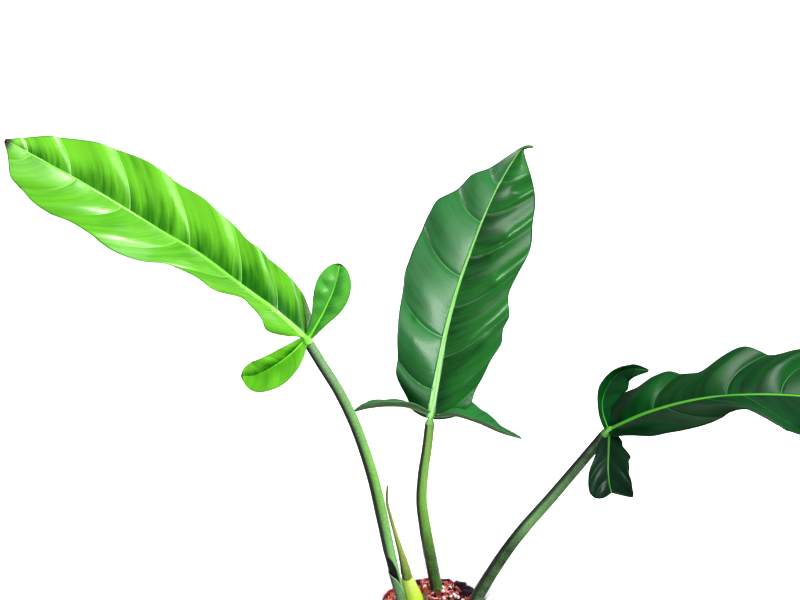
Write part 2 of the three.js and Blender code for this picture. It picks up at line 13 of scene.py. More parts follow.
import bpy
import numpy as np
from bpy.types import Material, Mesh, Node, NodeSocket, NodeTree, Object
from mathutils import Euler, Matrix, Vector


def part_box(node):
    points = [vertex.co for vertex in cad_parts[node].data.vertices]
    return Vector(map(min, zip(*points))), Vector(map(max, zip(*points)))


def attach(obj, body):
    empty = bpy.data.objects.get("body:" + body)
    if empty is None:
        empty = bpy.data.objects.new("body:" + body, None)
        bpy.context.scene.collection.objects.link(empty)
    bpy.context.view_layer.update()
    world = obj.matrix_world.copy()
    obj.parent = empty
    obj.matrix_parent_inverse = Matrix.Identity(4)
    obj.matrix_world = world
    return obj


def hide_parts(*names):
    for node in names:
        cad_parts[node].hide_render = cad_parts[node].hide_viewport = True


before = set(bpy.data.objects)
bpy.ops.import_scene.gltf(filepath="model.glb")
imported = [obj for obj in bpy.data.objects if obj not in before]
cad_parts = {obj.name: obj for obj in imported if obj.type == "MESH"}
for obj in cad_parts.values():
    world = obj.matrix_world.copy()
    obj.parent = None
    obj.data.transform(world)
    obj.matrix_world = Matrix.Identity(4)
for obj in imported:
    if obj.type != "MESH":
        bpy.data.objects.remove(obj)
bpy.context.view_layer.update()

LOG = logging.getLogger("philodendron")
MM = 0.001
BODY = "root"
SIDES = (-1, 1)

Array = np.ndarray
Pair = tuple[float, float]
Point = tuple[float, float, float]
Colour = tuple[int, int, int]
Tint = Colour | NodeSocket
Value = float | NodeSocket


def srgb(colour: Colour) -> tuple[float, ...]:
    """Gives the linear colour of 0 to 255 screen values."""
    shares = [part / 255 for part in colour]
    return (*(c / 12.92 if c <= 0.04045 else ((c + 0.055) / 1.055) ** 2.4 for c in shares), 1.0)


class Nodes:
    """Adds and links the nodes of one shader or geometry tree."""

    def __init__(self, tree: NodeTree) -> None:
        """Starts with an empty tree."""
        self.tree = tree
        tree.nodes.clear()

    def add(self, kind: str, inputs: dict | None = None, **settings: object) -> Node:
        """Adds one node.

        Args:
            kind: The node's type.
            inputs: Numbers, colours or sockets, by the input's name or place.
            **settings: The node's own properties.

        Returns:
            The new node.
        """
        node = self.tree.nodes.new(kind)
        for name, value in settings.items():
            setattr(node, name, value)
        for key, value in (inputs or {}).items():
            if isinstance(value, NodeSocket):
                self.tree.links.new(value, node.inputs[key])
            else:
                node.inputs[key].default_value = value
        return node

    def one(self, kind: str, inputs: dict | None = None, **settings: object) -> NodeSocket:
        """Adds one node and gives its first output."""
        return self.add(kind, inputs, **settings).outputs[0]

    def math(self, operation: str, *values: Value) -> NodeSocket:
        """Adds a Math node and gives its result."""
        return self.one("ShaderNodeMath", dict(enumerate(values)), operation=operation)

    def times(self, first: Value, second: Value) -> NodeSocket:
        """Gives the product of two values."""
        return self.math("MULTIPLY", first, second)

    def plus(self, value: Value, factor: Value, base: Value) -> NodeSocket:
        """Gives the base plus the value times the factor."""
        return self.math("MULTIPLY_ADD", value, factor, base)

    def centred(self, value: Value) -> NodeSocket:
        """Gives a value less a half."""
        return self.math("SUBTRACT", value, 0.5)

    def scaled(self, vector: Value, factor: Value) -> NodeSocket:
        """Gives a vector times a factor."""
        return self.one("ShaderNodeVectorMath", {0: vector, 3: factor}, operation="SCALE")

    def vector(self, x: Value, y: Value, z: Value) -> NodeSocket:
        """Gives the vector of three values."""
        return self.one("ShaderNodeCombineXYZ", {0: x, 1: y, 2: z})

    def part(self, vector: Value, axis: int) -> NodeSocket:
        """Gives one of a vector's three values."""
        return self.add("ShaderNodeSeparateXYZ", {0: vector}).outputs[axis]

    def fade(self, value: Value, start: Value, end: Value, low: float = 0.0, high: float = 1.0) -> NodeSocket:
        """Gives a smooth step from low at start to high at end."""
        inputs = {"Value": value, "From Min": start, "From Max": end, "To Min": low, "To Max": high}
        return self.one("ShaderNodeMapRange", inputs, interpolation_type="SMOOTHSTEP")

    def noise(self, vector: Value, scale: float, detail: float = 2.0, rough: float = 0.5) -> NodeSocket:
        """Gives the value of a noise texture."""
        inputs = {"Vector": vector, "Scale": scale, "Detail": detail, "Roughness": rough}
        return self.add("ShaderNodeTexNoise", inputs).outputs["Fac"]


class Paint(Nodes):
    """The nodes of one material."""

    def __init__(self, name: str) -> None:
        """Opens a material.

        Args:
            name: The material's name.
        """
        self.material = bpy.data.materials.new(name)
        self.material.use_nodes = True
        super().__init__(self.material.node_tree)

    def mark(self, name: str) -> NodeSocket:
        """Gives a number that is stored at the mesh's points under a name."""
        return self.add("ShaderNodeAttribute", attribute_name=name).outputs["Fac"]

    def grain(self) -> NodeSocket:
        """Gives the grain map's two lengths, in millimetres."""
        return self.one("ShaderNodeUVMap", uv_map="grain")

    def place(self) -> NodeSocket:
        """Gives the Object coordinates, which are metres in the part's frame."""
        return self.add("ShaderNodeTexCoord").outputs["Object"]

    def effect(self, name: str, **inputs: Value | Point) -> Node:
        """Adds a shared effect by its group's name."""
        return self.add("ShaderNodeGroup", inputs, node_tree=bpy.data.node_groups[name])

    def layers(self, base: Tint, *over: tuple[Value, Tint]) -> NodeSocket:
        """Lays tints over a base one after the other.

        Args:
            base: The tint below.
            *over: For each layer its mask and its tint.

        Returns:
            The colour.
        """
        for mask, tint in over:
            below, above = (srgb(c) if isinstance(c, tuple) else c for c in (base, tint))
            base = self.add("ShaderNodeMix", {0: mask, 6: below, 7: above}, data_type="RGBA").outputs[2]
        return base

    def bump(self, height: Value, depth: float, strength: float = 1.0) -> NodeSocket:
        """Gives the normal of a relief with its depth in metres."""
        return self.one("ShaderNodeBump", {"Height": height, "Distance": depth, "Strength": strength})

    def shade(self, colour: Value, roughness: Value, **inputs: Value) -> Material:
        """Closes the material with its shader.

        Args:
            colour: The base colour.
            roughness: The roughness.
            **inputs: The shader's other inputs, with underscores for spaces.

        Returns:
            The material.
        """
        named = {name.replace("_", " "): value for name, value in inputs.items()}
        shader = self.one("ShaderNodeBsdfPrincipled", {"Base Color": colour, "Roughness": roughness, **named})
        self.add("ShaderNodeOutputMaterial", {"Surface": shader})
        return self.material


def open_tree(
    name: str, kind: str, inputs: dict[str, Sequence[str]], outputs: dict[str, Sequence[str]]
) -> tuple[Nodes, bpy.types.bpy_prop_collection]:
    """Starts a node tree with named sockets.

    Args:
        name: The tree's name.
        kind: Shader or Geometry.
        inputs: The names of its inputs, by the kind of socket.
        outputs: The names of its outputs, by the kind of socket.

    Returns:
        The tree's nodes, and the sockets that its inputs come from, by name.
    """
    tree = bpy.data.node_groups.new(name, f"{kind}NodeTree")
    for way, sockets in (("INPUT", inputs), ("OUTPUT", outputs)):
        for socket, labels in sockets.items():
            for label in labels:
                tree.interface.new_socket(label, in_out=way, socket_type=f"NodeSocket{socket}")
    nodes = Nodes(tree)
    return nodes, nodes.add("NodeGroupInput").outputs


class Effects:
    """The shader node groups that several finishes share. They put out only masks and values."""

    def build(self) -> None:
        """Builds each group once."""
        for group in (self._veining, self._streaks, self._blotches, self._fleck):
            group()

    def _veining(self) -> None:
        """Builds the lateral veins: a line and a groove on each, and a flank from 1 past it to -1 before the next,
        which the blades use to paint light on one side of each vein and shade on the other.
        """
        names = ("Line", "Groove", "Flank")
        nodes, entry = open_tree(
            "Veining", "Shader", {"Float": ("Phase", "Span", "Count", "Width")}, {"Float": names}
        )
        phase, width = entry["Phase"], entry["Width"]
        past = nodes.math("SUBTRACT", phase, nodes.math("ROUND", phase))
        gap = nodes.times(nodes.math("ABSOLUTE", past), entry["Span"])
        after_base = nodes.math("GREATER_THAN", phase, 0.5)
        before_tip = nodes.math("LESS_THAN", phase, nodes.math("ADD", entry["Count"], 0.5))
        inside = nodes.times(after_base, before_tip)
        line = nodes.fade(gap, nodes.times(width, 0.2), width, 1.0, 0.0)
        groove = nodes.fade(gap, 0.0, nodes.times(width, 4.0), 1.0, 0.0)
        flank = nodes.fade(nodes.math("FRACT", phase), 0.0, 1.0, 1.0, -1.0)
        values = zip(names, (line, groove, flank), strict=True)
        nodes.add("NodeGroupOutput", {name: nodes.times(value, inside) for name, value in values})

    def _streaks(self) -> None:
        """Builds streaks that run along the grain's second axis, from its two lengths in millimetres."""
        given = {"Vector": ("Grain",), "Float": ("Fineness", "Stretch", "Seed")}
        nodes, entry = open_tree("Streaks", "Shader", given, {"Float": ("Value",)})
        across, along = (nodes.times(nodes.part(entry["Grain"], axis), entry["Fineness"]) for axis in (0, 1))
        stretched = nodes.vector(across, nodes.times(along, entry["Stretch"]), entry["Seed"])
        nodes.add("NodeGroupOutput", {"Value": nodes.noise(stretched, 1.0, 3.0, 0.6)})

    def _blotches(self) -> None:
        """Builds soft blotches with a set size in millimetres and a set contrast."""
        given = {"Vector": ("Place",), "Float": ("Size", "Contrast")}
        nodes, entry = open_tree("Blotches", "Shader", given, {"Float": ("Value",)})
        spread = nodes.scaled(entry["Place"], nodes.math("DIVIDE", 1.0 / MM, entry["Size"]))
        value = nodes.plus(nodes.centred(nodes.noise(spread, 1.0, 3.0)), entry["Contrast"], 0.5)
        clamped = nodes.math("MINIMUM", nodes.math("MAXIMUM", value, 0.0), 1.0)
        nodes.add("NodeGroupOutput", {"Value": clamped})

    def _fleck(self) -> None:
        """Builds one small fleck at a place of the grain, with a set radius in millimetres."""
        given = {"Vector": ("Grain", "Centre"), "Float": ("Radius",)}
        nodes, entry = open_tree("Fleck", "Shader", given, {"Float": ("Mask",)})
        inputs = {0: entry["Grain"], 1: entry["Centre"]}
        gap = nodes.add("ShaderNodeVectorMath", inputs, operation="DISTANCE").outputs["Value"]
        ragged = nodes.plus(nodes.noise(entry["Grain"], 1.3), 0.8, gap)
        nodes.add("NodeGroupOutput", {"Mask": nodes.fade(ragged, 0.3, entry["Radius"], 1.0, 0.0)})


@dataclass(frozen=True)
class HalfTone:
    """The greens of one half of a blade, and how its streaks and rib shift it between them, with painted shade near the
    base and painted light and shade beside the veins.
    """

    deep: Colour
    fresh: Colour
    streak: float = 0.5
    by_rib: float = 0.3
    # Painted shade near the petiole, where the lobes meet.
    painted_base_shade: float = 0.3
    # Painted light on one side of each lateral vein and painted shade on the other; the sign picks the side.
    painted_vein_light_and_shade: float = 0.0
    level: float = 0.6


@dataclass(frozen=True)
class LeafFinish:
    """The look of a blade: greens for each half, paler ribs and veins, a dull underside and a waxy gloss."""

    name: str
    left: HalfTone
    right: HalfTone
    rib: Colour
    vein: Colour
    under: Colour
    under_rib: Colour
    edge: Colour
    tip: Colour
    # The colour that a lobe's tone leans to; on the dark leaf it is painted shadow.
    base: Colour
    vein_width: float = 0.42
    vein_strength: float = 0.5
    roughness: float = 0.28
    coat: float = 0.1
    # How far up the blade the painted shade at the base reaches.
    base_shade_reach: float = 0.15
    tip_reach: Pair = (0.985, 0.995)
    # Small spots: brown marks on the lime leaf, painted shade on the green one.
    flecks_and_shade_spots: tuple[Point, ...] = ()
    fleck_and_shade_colour: Colour = (150, 120, 60)

    fine_streaks = {"Fineness": 0.75, "Stretch": 0.035, "Seed": 3.0}
    broad_streaks = {"Fineness": 0.16, "Stretch": 0.16, "Seed": 9.0}

    def build(self) -> Material:
        """Builds the material.

        Returns:
            The material, which reads the blade's grain map and its stored marks.
        """
        nodes = Paint(self.name)
        grain, along, under = nodes.grain(), nodes.mark("along"), nodes.mark("under")
        sideways = nodes.part(grain, 1)
        out = nodes.math("ABSOLUTE", sideways)
        share = nodes.math("DIVIDE", out, nodes.math("ADD", nodes.mark("reach"), 0.01))
        marks = {label: nodes.mark(mark) for label, mark in (("Phase", "phase"), ("Span", "span"), ("Count", "veins"))}
        veins = nodes.effect("Veining", **marks, Width=self.vein_width).outputs
        fine, broad = (
            nodes.effect("Streaks", Grain=grain, **sizes).outputs[0]
            for sizes in (self.fine_streaks, self.broad_streaks)
        )
        blotch = nodes.effect("Blotches", Place=nodes.place(), Size=30.0, Contrast=1.8).outputs[0]
        near_rib = nodes.fade(share, 0.0, 0.75, 1.0, 0.0)
        # Painted shade that darkens each half towards the petiole.
        shade_near_base = nodes.fade(along, 0.0, self.base_shade_reach, 1.0, 0.0)
        greens = []
        for half in (self.left, self.right):
            level = half.level
            for value, factor in (
                (nodes.centred(broad), half.streak * 1.5),
                (nodes.centred(fine), half.streak * 0.6),
                (nodes.centred(blotch), 0.3),
                # Painted light and shade beside each vein.
                (veins["Flank"], half.painted_vein_light_and_shade),
                (near_rib, -half.by_rib),
                (shade_near_base, -half.painted_base_shade),
            ):
                level = nodes.plus(value, factor, level)
            greens.append(nodes.layers(half.deep, (nodes.fade(level, 0.0, 1.0), half.fresh)))
        rib_half = nodes.mark("rib")
        on_rib = nodes.fade(out, nodes.times(rib_half, 0.7), nodes.times(rib_half, 1.08), 1.0, 0.0)
        # Flecks: brown marks on the lime leaf, a painted shade spot on the green one.
        flecks_and_shade_spots = [
            (nodes.times(nodes.effect("Fleck", Grain=grain, Centre=(u, v, 0.0), Radius=radius).outputs[0], 0.85),
             self.fleck_and_shade_colour)
            for u, v, radius in self.flecks_and_shade_spots
        ]
        top = nodes.layers(
            greens[0],
            (nodes.fade(sideways, -0.2, 0.2), greens[1]),
            # A lobe's tone leans it to the base colour: a tint on the left blade's upper lobe, painted shadow on the
            # right blade's lower lobe.
            (nodes.mark("tone"), self.base),
            (nodes.times(veins["Line"], nodes.fade(share, 0.35, 0.95, self.vein_strength, 0.0)), self.vein),
            *flecks_and_shade_spots,
            (nodes.fade(nodes.mark("margin"), 0.15, 0.9, 0.75, 0.0), self.edge),
            (on_rib, self.rib),
        )
        below = nodes.layers(self.under, (nodes.times(fine, 0.35), self.under_rib), (on_rib, self.under_rib))
        colour = nodes.layers(top, (under, below), (nodes.fade(along, *self.tip_reach), self.tip))
        gloss = nodes.plus(under, 0.2, nodes.plus(nodes.centred(fine), 0.1, self.roughness))
        height = nodes.plus(veins["Groove"], -0.7, nodes.times(fine, 0.35))
        height = nodes.plus(nodes.noise(grain, 1.6), 0.12, height)
        normal = nodes.bump(height, 0.00028, 0.6)
        return nodes.shade(
            colour, gloss, Normal=normal, Coat_Weight=self.coat, Coat_Roughness=0.15, Specular_IOR_Level=0.3
        )


@dataclass(frozen=True)
class StemFinish:
    """The look of a stem: greens that change up its length, a dark purple flank on its left and lower side that is
    partly its own colour and partly painted shade, fine streaks and mottling.
    """

    name: str
    foot: Colour
    middle: Colour
    top: Colour
    flank: Colour
    purple_shade_strength: float = 0.9
    purple_shade_reach: Pair = (0.25, 0.6)
    foot_reach: Pair = (0.0, 0.5)
    mottle: float = 0.3
    streak: Colour = (200, 220, 190)
    rim: Colour = (150, 196, 140)
    # Painted shade inside the sheath's hollow.
    hollow: Colour = (10, 5, 14)
    roughness: float = 0.42
    coat: float = 0.15

    purple_shade_side = (-1.0, 0.1, -0.15)
    streaks_round = 9.0
    streaks_along = 6.0

    def build(self) -> Material:
        """Builds the material.

        Returns:
            The material, which reads the stem's stored marks.
        """
        nodes = Paint(self.name)
        along, place = nodes.mark("along"), nodes.place()
        around = (nodes.times(nodes.mark(name), self.streaks_round) for name in ("round_x", "round_y"))
        streak = nodes.noise(nodes.vector(*around, nodes.times(along, self.streaks_along)), 1.0, 3.0, 0.65)
        blotch = nodes.effect("Blotches", Place=place, Size=9.0, Contrast=2.2).outputs[0]
        mottle, specks = nodes.noise(place, 800.0), nodes.noise(place, 900.0, 1.0)
        # Partly painted shade: the side that faces left and down, away from the key light, goes dark purple, which is
        # partly the stem's own colour.
        inputs = {0: nodes.add("ShaderNodeTexCoord").outputs["Normal"], 1: self.purple_shade_side}
        side = nodes.add("ShaderNodeVectorMath", inputs, operation="DOT_PRODUCT").outputs["Value"]
        on_purple_shade_side = nodes.fade(nodes.plus(nodes.centred(streak), 0.35, side), *self.purple_shade_reach)
        colour = nodes.layers(
            self.foot,
            (nodes.fade(along, *self.foot_reach), self.middle),
            (nodes.fade(along, 0.5, 1.0), self.top),
            (nodes.fade(streak, 0.5, 0.85, 0.0, 0.35), self.streak),
            (nodes.times(blotch, 0.3), self.middle),
            (nodes.fade(mottle, 0.45, 0.85, 0.0, self.mottle), self.streak),
            (nodes.fade(mottle, 0.5, 0.2, 0.0, self.mottle), self.flank),
            (nodes.times(on_purple_shade_side, self.purple_shade_strength), self.flank),
            (nodes.mark("rim"), self.rim),
            (nodes.mark("shade"), self.hollow),
            (nodes.fade(specks, 0.7, 0.78, 0.0, 0.5), self.flank),
        )
        gloss = nodes.plus(nodes.centred(streak), 0.15, self.roughness)
        normal = nodes.bump(streak, 0.00035, 0.7)
        return nodes.shade(colour, gloss, Normal=normal, Coat_Weight=self.coat, Coat_Roughness=0.3)


@dataclass(frozen=True)
class PotFinish:
    """The look of the pot: white satin plastic, a little scuffed at its foot and dusty inside above the mix."""

    name: str = "pot_plastic"
    white: Colour = (250, 250, 253)
    shade: Colour = (240, 239, 248)
    scuff: Colour = (196, 192, 190)
    dust: Colour = (150, 118, 98)
    dust_heights: Pair = (64.0, 72.0)
    scuff_height: float = 12.0

    def build(self) -> Material:
        """Builds the material.

        Returns:
            The material, which reads the mark of the inner wall.
        """
        nodes = Paint(self.name)
        place = nodes.place()
        height = nodes.part(place, 2)
        cloudy, worn = (
            nodes.effect("Blotches", Place=place, Size=size, Contrast=contrast).outputs[0]
            for size, contrast in ((30.0, 2.0), (3.5, 5.0))
        )
        foot = nodes.times(nodes.fade(height, 0.0, self.scuff_height * MM, 1.0, 0.0), worn)
        low, high = (value * MM for value in self.dust_heights)
        dusty = nodes.times(nodes.fade(height, low, high, 1.0, 0.0), nodes.mark("inside"))
        colour = nodes.layers(
            self.white,
            (nodes.times(cloudy, 0.5), self.shade),
            (nodes.times(foot, 0.5), self.scuff),
            (nodes.times(dusty, nodes.times(worn, 0.35)), self.dust),
        )
        gloss = nodes.plus(nodes.math("MAXIMUM", foot, dusty), 0.3, 0.4)
        normal = nodes.bump(nodes.noise(place, 700.0), 0.00006, 0.5)
        return nodes.shade(colour, gloss, Normal=normal, Specular_IOR_Level=0.5)


@dataclass(frozen=True)
class CrumbFinish:
    """The look of something crumbly in the mix: two colours, a third in patches, and a rough surface."""

    name: str
    dark: Colour
    light: Colour
    patch: Colour
    size: float
    patch_share: float = 0.6
    roughness: float = 0.85
    relief: float = 0.0005

    def build(self) -> Material:
        """Builds the material.

        Returns:
            The material.
        """
        nodes = Paint(self.name)
        place = nodes.place()
        blotch, patches = (
            nodes.effect("Blotches", Place=place, Size=size, Contrast=4.0).outputs[0]
            for size in (self.size, self.size * 4.0)
        )
        in_patch = nodes.fade(patches, self.patch_share, self.patch_share + 0.2)
        colour = nodes.layers(self.dark, (blotch, self.light), (in_patch, self.patch))
        grit = nodes.noise(place, 2600.0 / self.size, 4.0, 0.7)
        normal = nodes.bump(grit, self.relief, 0.9)
        return nodes.shade(colour, self.roughness, Normal=normal, Specular_IOR_Level=0.3)


@dataclass(frozen=True)
class PaperFinish:
    """The look of the dry sheath: grey-beige fibres and a reddish torn edge."""

    name: str = "dry_sheath"
    pale: Colour = (214, 202, 190)
    dull: Colour = (158, 138, 122)
    torn: Colour = (150, 72, 48)

    def build(self) -> Material:
        """Builds the material.

        Returns:
            The material, which reads the strip's grain map and marks.
        """
        nodes = Paint(self.name)
        fibres = nodes.effect("Streaks", Grain=nodes.grain(), Fineness=2.5, Stretch=0.08, Seed=5.0).outputs[0]
        by_edge = nodes.fade(nodes.mark("along"), 0.72, 0.98, 0.0, 0.85)
        colour = nodes.layers(self.dull, (nodes.fade(fibres, 0.3, 0.7), self.pale), (by_edge, self.torn))
        return nodes.shade(colour, 0.8, Normal=nodes.bump(fibres, 0.0004))


class Spline:
    """A uniform Catmull-Rom curve through points, read at shares from 0 to 1, with its ends reflected."""

    def __init__(self, points: Sequence[Sequence[float]]) -> None:
        """Keeps the points and one reflected point past each end.

        Args:
            points: The points that the curve runs through.
        """
        inner = np.asarray(points, float)
        self.points = np.vstack([2 * inner[0] - inner[1], inner, 2 * inner[-1] - inner[-2]])
        self.spans = len(inner) - 1

    def _terms(self, share: Array) -> tuple[Array, ...]:
        """Gives the cubic's four factors and the place in the span.

        Args:
            share: Shares of the curve.

        Returns:
            The four factors and the place, for each share.
        """
        place = np.clip(np.asarray(share, float), 0, 1) * self.spans
        index = np.minimum(place.astype(int), self.spans - 1)
        before, start, end, after = (self.points[index + i] for i in range(4))
        leave, arrive = (end - before) / 2, (after - start) / 2
        square = 3 * (end - start) - 2 * leave - arrive
        cube = 2 * (start - end) + leave + arrive
        return start, leave, square, cube, (place - index)[..., None]

    def at(self, share: Array) -> Array:
        """Gives the points at shares of the curve."""
        start, leave, square, cube, t = self._terms(share)
        return start + t * (leave + t * (square + t * cube))

    def heading(self, share: Array) -> Array:
        """Gives the unit tangents at shares of the curve."""
        _, leave, square, cube, t = self._terms(share)
        return unit(leave + t * (2 * square + 3 * t * cube))

    def run(self, steps: int) -> Array:
        """Gives how far along the curve each of steps + 1 even shares lies."""
        points = self.at(np.linspace(0, 1, steps + 1))
        return np.concatenate([[0.0], np.cumsum(np.linalg.norm(np.diff(points, axis=0), axis=1))])

    def length(self) -> float:
        """Gives the curve's length."""
        return float(self.run(200)[-1])

    def even(self, count: int, steps: int = 400) -> Array:
        """Gives count + 1 points that are evenly spaced by length."""
        run = self.run(steps)
        return self.at(np.interp(np.linspace(0, run[-1], count + 1), run, np.linspace(0, 1, steps + 1)))


def unit(vectors: Array) -> Array:
    """Gives vectors the length 1."""
    return vectors / np.maximum(np.linalg.norm(vectors, axis=-1, keepdims=True), 1e-9)


def make_mesh(name: str, points: Array | Sequence, faces: Sequence = (), edges: Sequence = ()) -> Mesh:
    """Makes a mesh from points in millimetres.

    Args:
        name: The mesh's name.
        points: The points.
        faces: The point numbers of each face.
        edges: The point numbers of each loose edge.

    Returns:
        The mesh, in metres.
    """
    mesh = bpy.data.meshes.new(name)
    mesh.from_pydata((np.asarray(points, float).reshape(-1, 3) * MM).tolist(), edges, faces)
    return mesh


def points_of(mesh: Mesh) -> Array:
    """Gives a mesh's points in millimetres.

    Args:
        mesh: The mesh.

    Returns:
        Its points, a row for each.
    """
    points = np.zeros(len(mesh.vertices) * 3)
    mesh.vertices.foreach_get("co", points)
    return points.reshape(-1, 3) / MM


def store(mesh: Mesh, name: str, values: Array | Sequence) -> None:
    """Stores a number at each of a mesh's points, under a name."""
    mesh.attributes.new(name, "FLOAT", "POINT").data.foreach_set("value", np.asarray(values, np.float32))


def stand(name: str, data: bpy.types.ID) -> Object:
    """Makes an object from its data and links it to the scene.

    Args:
        name: The object's name.
        data: Its mesh, light or camera.

    Returns:
        The object.
    """
    made = bpy.data.objects.new(name, data)
    bpy.context.scene.collection.objects.link(made)
    return made


def harvest(source: Object) -> Mesh:
    """Gives what an object's modifiers make of it, and removes the object.

    Args:
        source: The object.

    Returns:
        The result as a plain mesh.
    """
    mesh = bpy.data.meshes.new_from_object(source.evaluated_get(bpy.context.evaluated_depsgraph_get()))
    source.modifiers.clear()
    bpy.data.objects.remove(source)
    return mesh


def finish_mesh(mesh: Mesh, name: str, material: Material, sharp: float | None = None) -> Object:
    """Shades a mesh smooth, gives it its finish and puts it in the scene.

    Args:
        mesh: The mesh, with its place in its points.
        name: The piece's name.
        material: Its finish.
        sharp: The angle in degrees past which smooth shading stops at an edge, or None.

    Returns:
        The new object.
    """
    mesh.materials.clear()
    mesh.materials.append(material)
    mesh.polygons.foreach_set("use_smooth", [True] * len(mesh.polygons))
    mesh.polygons.foreach_set("material_index", [0] * len(mesh.polygons))
    mesh.update()
    if sharp:
        mesh.set_sharp_from_angle(angle=math.radians(sharp))
    return stand(name, mesh)


def settle(piece: Object, replaces: Sequence[str] = ()) -> None:
    """Lets a piece ride on the part and reports it.

    Args:
        piece: The finished piece.
        replaces: The nodes that it stands for.
    """
    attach(piece, BODY)
    if replaces:
        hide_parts(*replaces)
    LOG.info("%s: %d faces", piece.name, len(piece.data.polygons))


def grid_faces(rows: int, columns: int) -> Array:
    """Gives the quads of a grid of points that is stored row by row."""
    corner = (np.arange(rows - 1)[:, None] * columns + np.arange(columns - 1)[None, :]).ravel()
    return np.stack([corner, corner + 1, corner + columns + 1, corner + columns], axis=1)


def ring(radius: float, turns: Array, height: Array | float) -> Array:
    """Gives the points of a ring at a height, or at one height for each."""
    x, y = radius * np.cos(turns), radius * np.sin(turns)
    return np.stack([x, y, np.broadcast_to(height, x.shape)], axis=1)


def turned_faces(rings: int, segments: int, downwards: bool = False) -> list[tuple[int, ...]]:
    """Gives the faces of a turned body: quads between its rings, and a fan to each of its last two points.

    Args:
        rings: The number of rings.
        segments: The points of each.
        downwards: Whether the rings run from the top down.

    Returns:
        The point numbers of each face, turned outwards.
    """
    step = np.arange(segments)
    after = (step + 1) % segments
    starts = np.arange(rings - 1)[:, None] * segments
    quads = np.stack(
        [starts + step, starts + after, starts + segments + after, starts + segments + step], axis=-1
    ).reshape(-1, 4)
    end, last = rings * segments, (rings - 1) * segments
    faces = [tuple(quad) for quad in quads.tolist()]
    faces += [(end, b, a) for a, b in zip(step.tolist(), after.tolist(), strict=True)]
    faces += [(end + 1, last + a, last + b) for a, b in zip(step.tolist(), after.tolist(), strict=True)]
    return [(face[0], *face[:0:-1]) for face in faces] if downwards else faces


@dataclass
class Shell:
    """Points in millimetres, faces and marks of one or more closed surfaces that become one mesh."""

    points: list[Array] = field(default_factory=list)
    faces: list[Array] = field(default_factory=list)
    grain: list[Array] = field(default_factory=list)
    marks: dict[str, list[Array]] = field(default_factory=dict)

    rim_bulge = 0.27

    def close(self, top: Array, bottom: Array, grain: Array, marks: dict[str, Array]) -> None:
        """Adds a sheet: its two faces, joined round their border with a row of points that rounds it.

        Args:
            top: The upper face's grid of points.
            bottom: The lower face's points.
            grain: The grain map's two lengths at each point.
            marks: Numbers at each point, by name.
        """
        rows, columns = top.shape[:2]
        count = rows * columns
        border = [(0, c) for c in range(columns)] + [(r, columns - 1) for r in range(1, rows)]
        border += [(rows - 1, c) for c in range(columns - 2, -1, -1)] + [(r, 0) for r in range(rows - 2, 0, -1)]
        around = np.array([r * columns + c for r, c in border])
        inward = np.array([min(max(r, 1), rows - 2) * columns + min(max(c, 1), columns - 2) for r, c in border])
        middle = (top + bottom).reshape(-1, 3) / 2
        rim = middle[around] + unit(middle[around] - middle[inward]) * self.rim_bulge
        points = np.vstack([top.reshape(-1, 3), bottom.reshape(-1, 3), rim])
        flat = grid_faces(rows, columns)
        step = np.arange(len(around))
        following = (step + 1) % len(around)
        edge, edge_next = 2 * count + step, 2 * count + following
        upper = np.stack([around[following], around, edge, edge_next], axis=1)
        lower = np.stack([edge_next, edge, count + around, count + around[following]], axis=1)
        faces = np.vstack([flat, flat[:, ::-1] + count, upper, lower])
        corners = points[faces]
        normals = np.cross(corners[:, 2] - corners[:, 0], corners[:, 3] - corners[:, 1])
        if float(np.einsum("ij,ij->", corners.mean(axis=1) - points.mean(axis=0), normals)) < 0:
            faces = faces[:, ::-1]
        start = sum(len(part) for part in self.points)
        self.points.append(points)
        self.faces.append(faces + start)
        cells = grain.reshape(-1, 2)
        self.grain.append(np.vstack([cells, cells, cells[around]]))
        spread = {name: np.concatenate([v.ravel(), v.ravel(), v.ravel()[around]]) for name, v in marks.items()}
        spread["under"] = np.concatenate([np.zeros(count), np.ones(count), np.full(len(around), 0.5)])
        for name, values in spread.items():
            self.marks.setdefault(name, []).append(values)

    def make(self, name: str, material: Material) -> Object:
        """Makes the mesh and its object.

        Args:
            name: The piece's name.
            material: Its finish.

        Returns:
            The object, linked to the scene.
        """
        mesh = make_mesh(name, np.vstack(self.points), np.vstack(self.faces).tolist())
        for label, parts in self.marks.items():
            store(mesh, label, np.concatenate(parts))
        corners = np.zeros(len(mesh.loops), int)
        mesh.loops.foreach_get("vertex_index", corners)
        grain = np.vstack(self.grain)[corners].astype(np.float32)
        mesh.uv_layers.new(name="grain").data.foreach_set("uv", grain.ravel())
        return finish_mesh(mesh, name, material)


def swells(along: Array, places: Sequence[Point]) -> Array:
    """Adds up local swells along a lobe, each with its place, size and spread."""
    return sum((size * np.exp(-(((along - place) / spread) ** 2)) for place, size, spread in places), 0.0 * along)


@dataclass(frozen=True)
class Half:
    """One half of a lobe: where its lateral veins start, its margin's waves, and how its surface tilts and swells."""

    veins: tuple[float, ...] = (0.35, 0.65)
    waves: tuple[Point, ...] = ()
    tilts: tuple[Point, ...] = ()
    bend: Pair = (0.45, 0.2)
    quilt: float = 0.9
    lean: float = 0.0


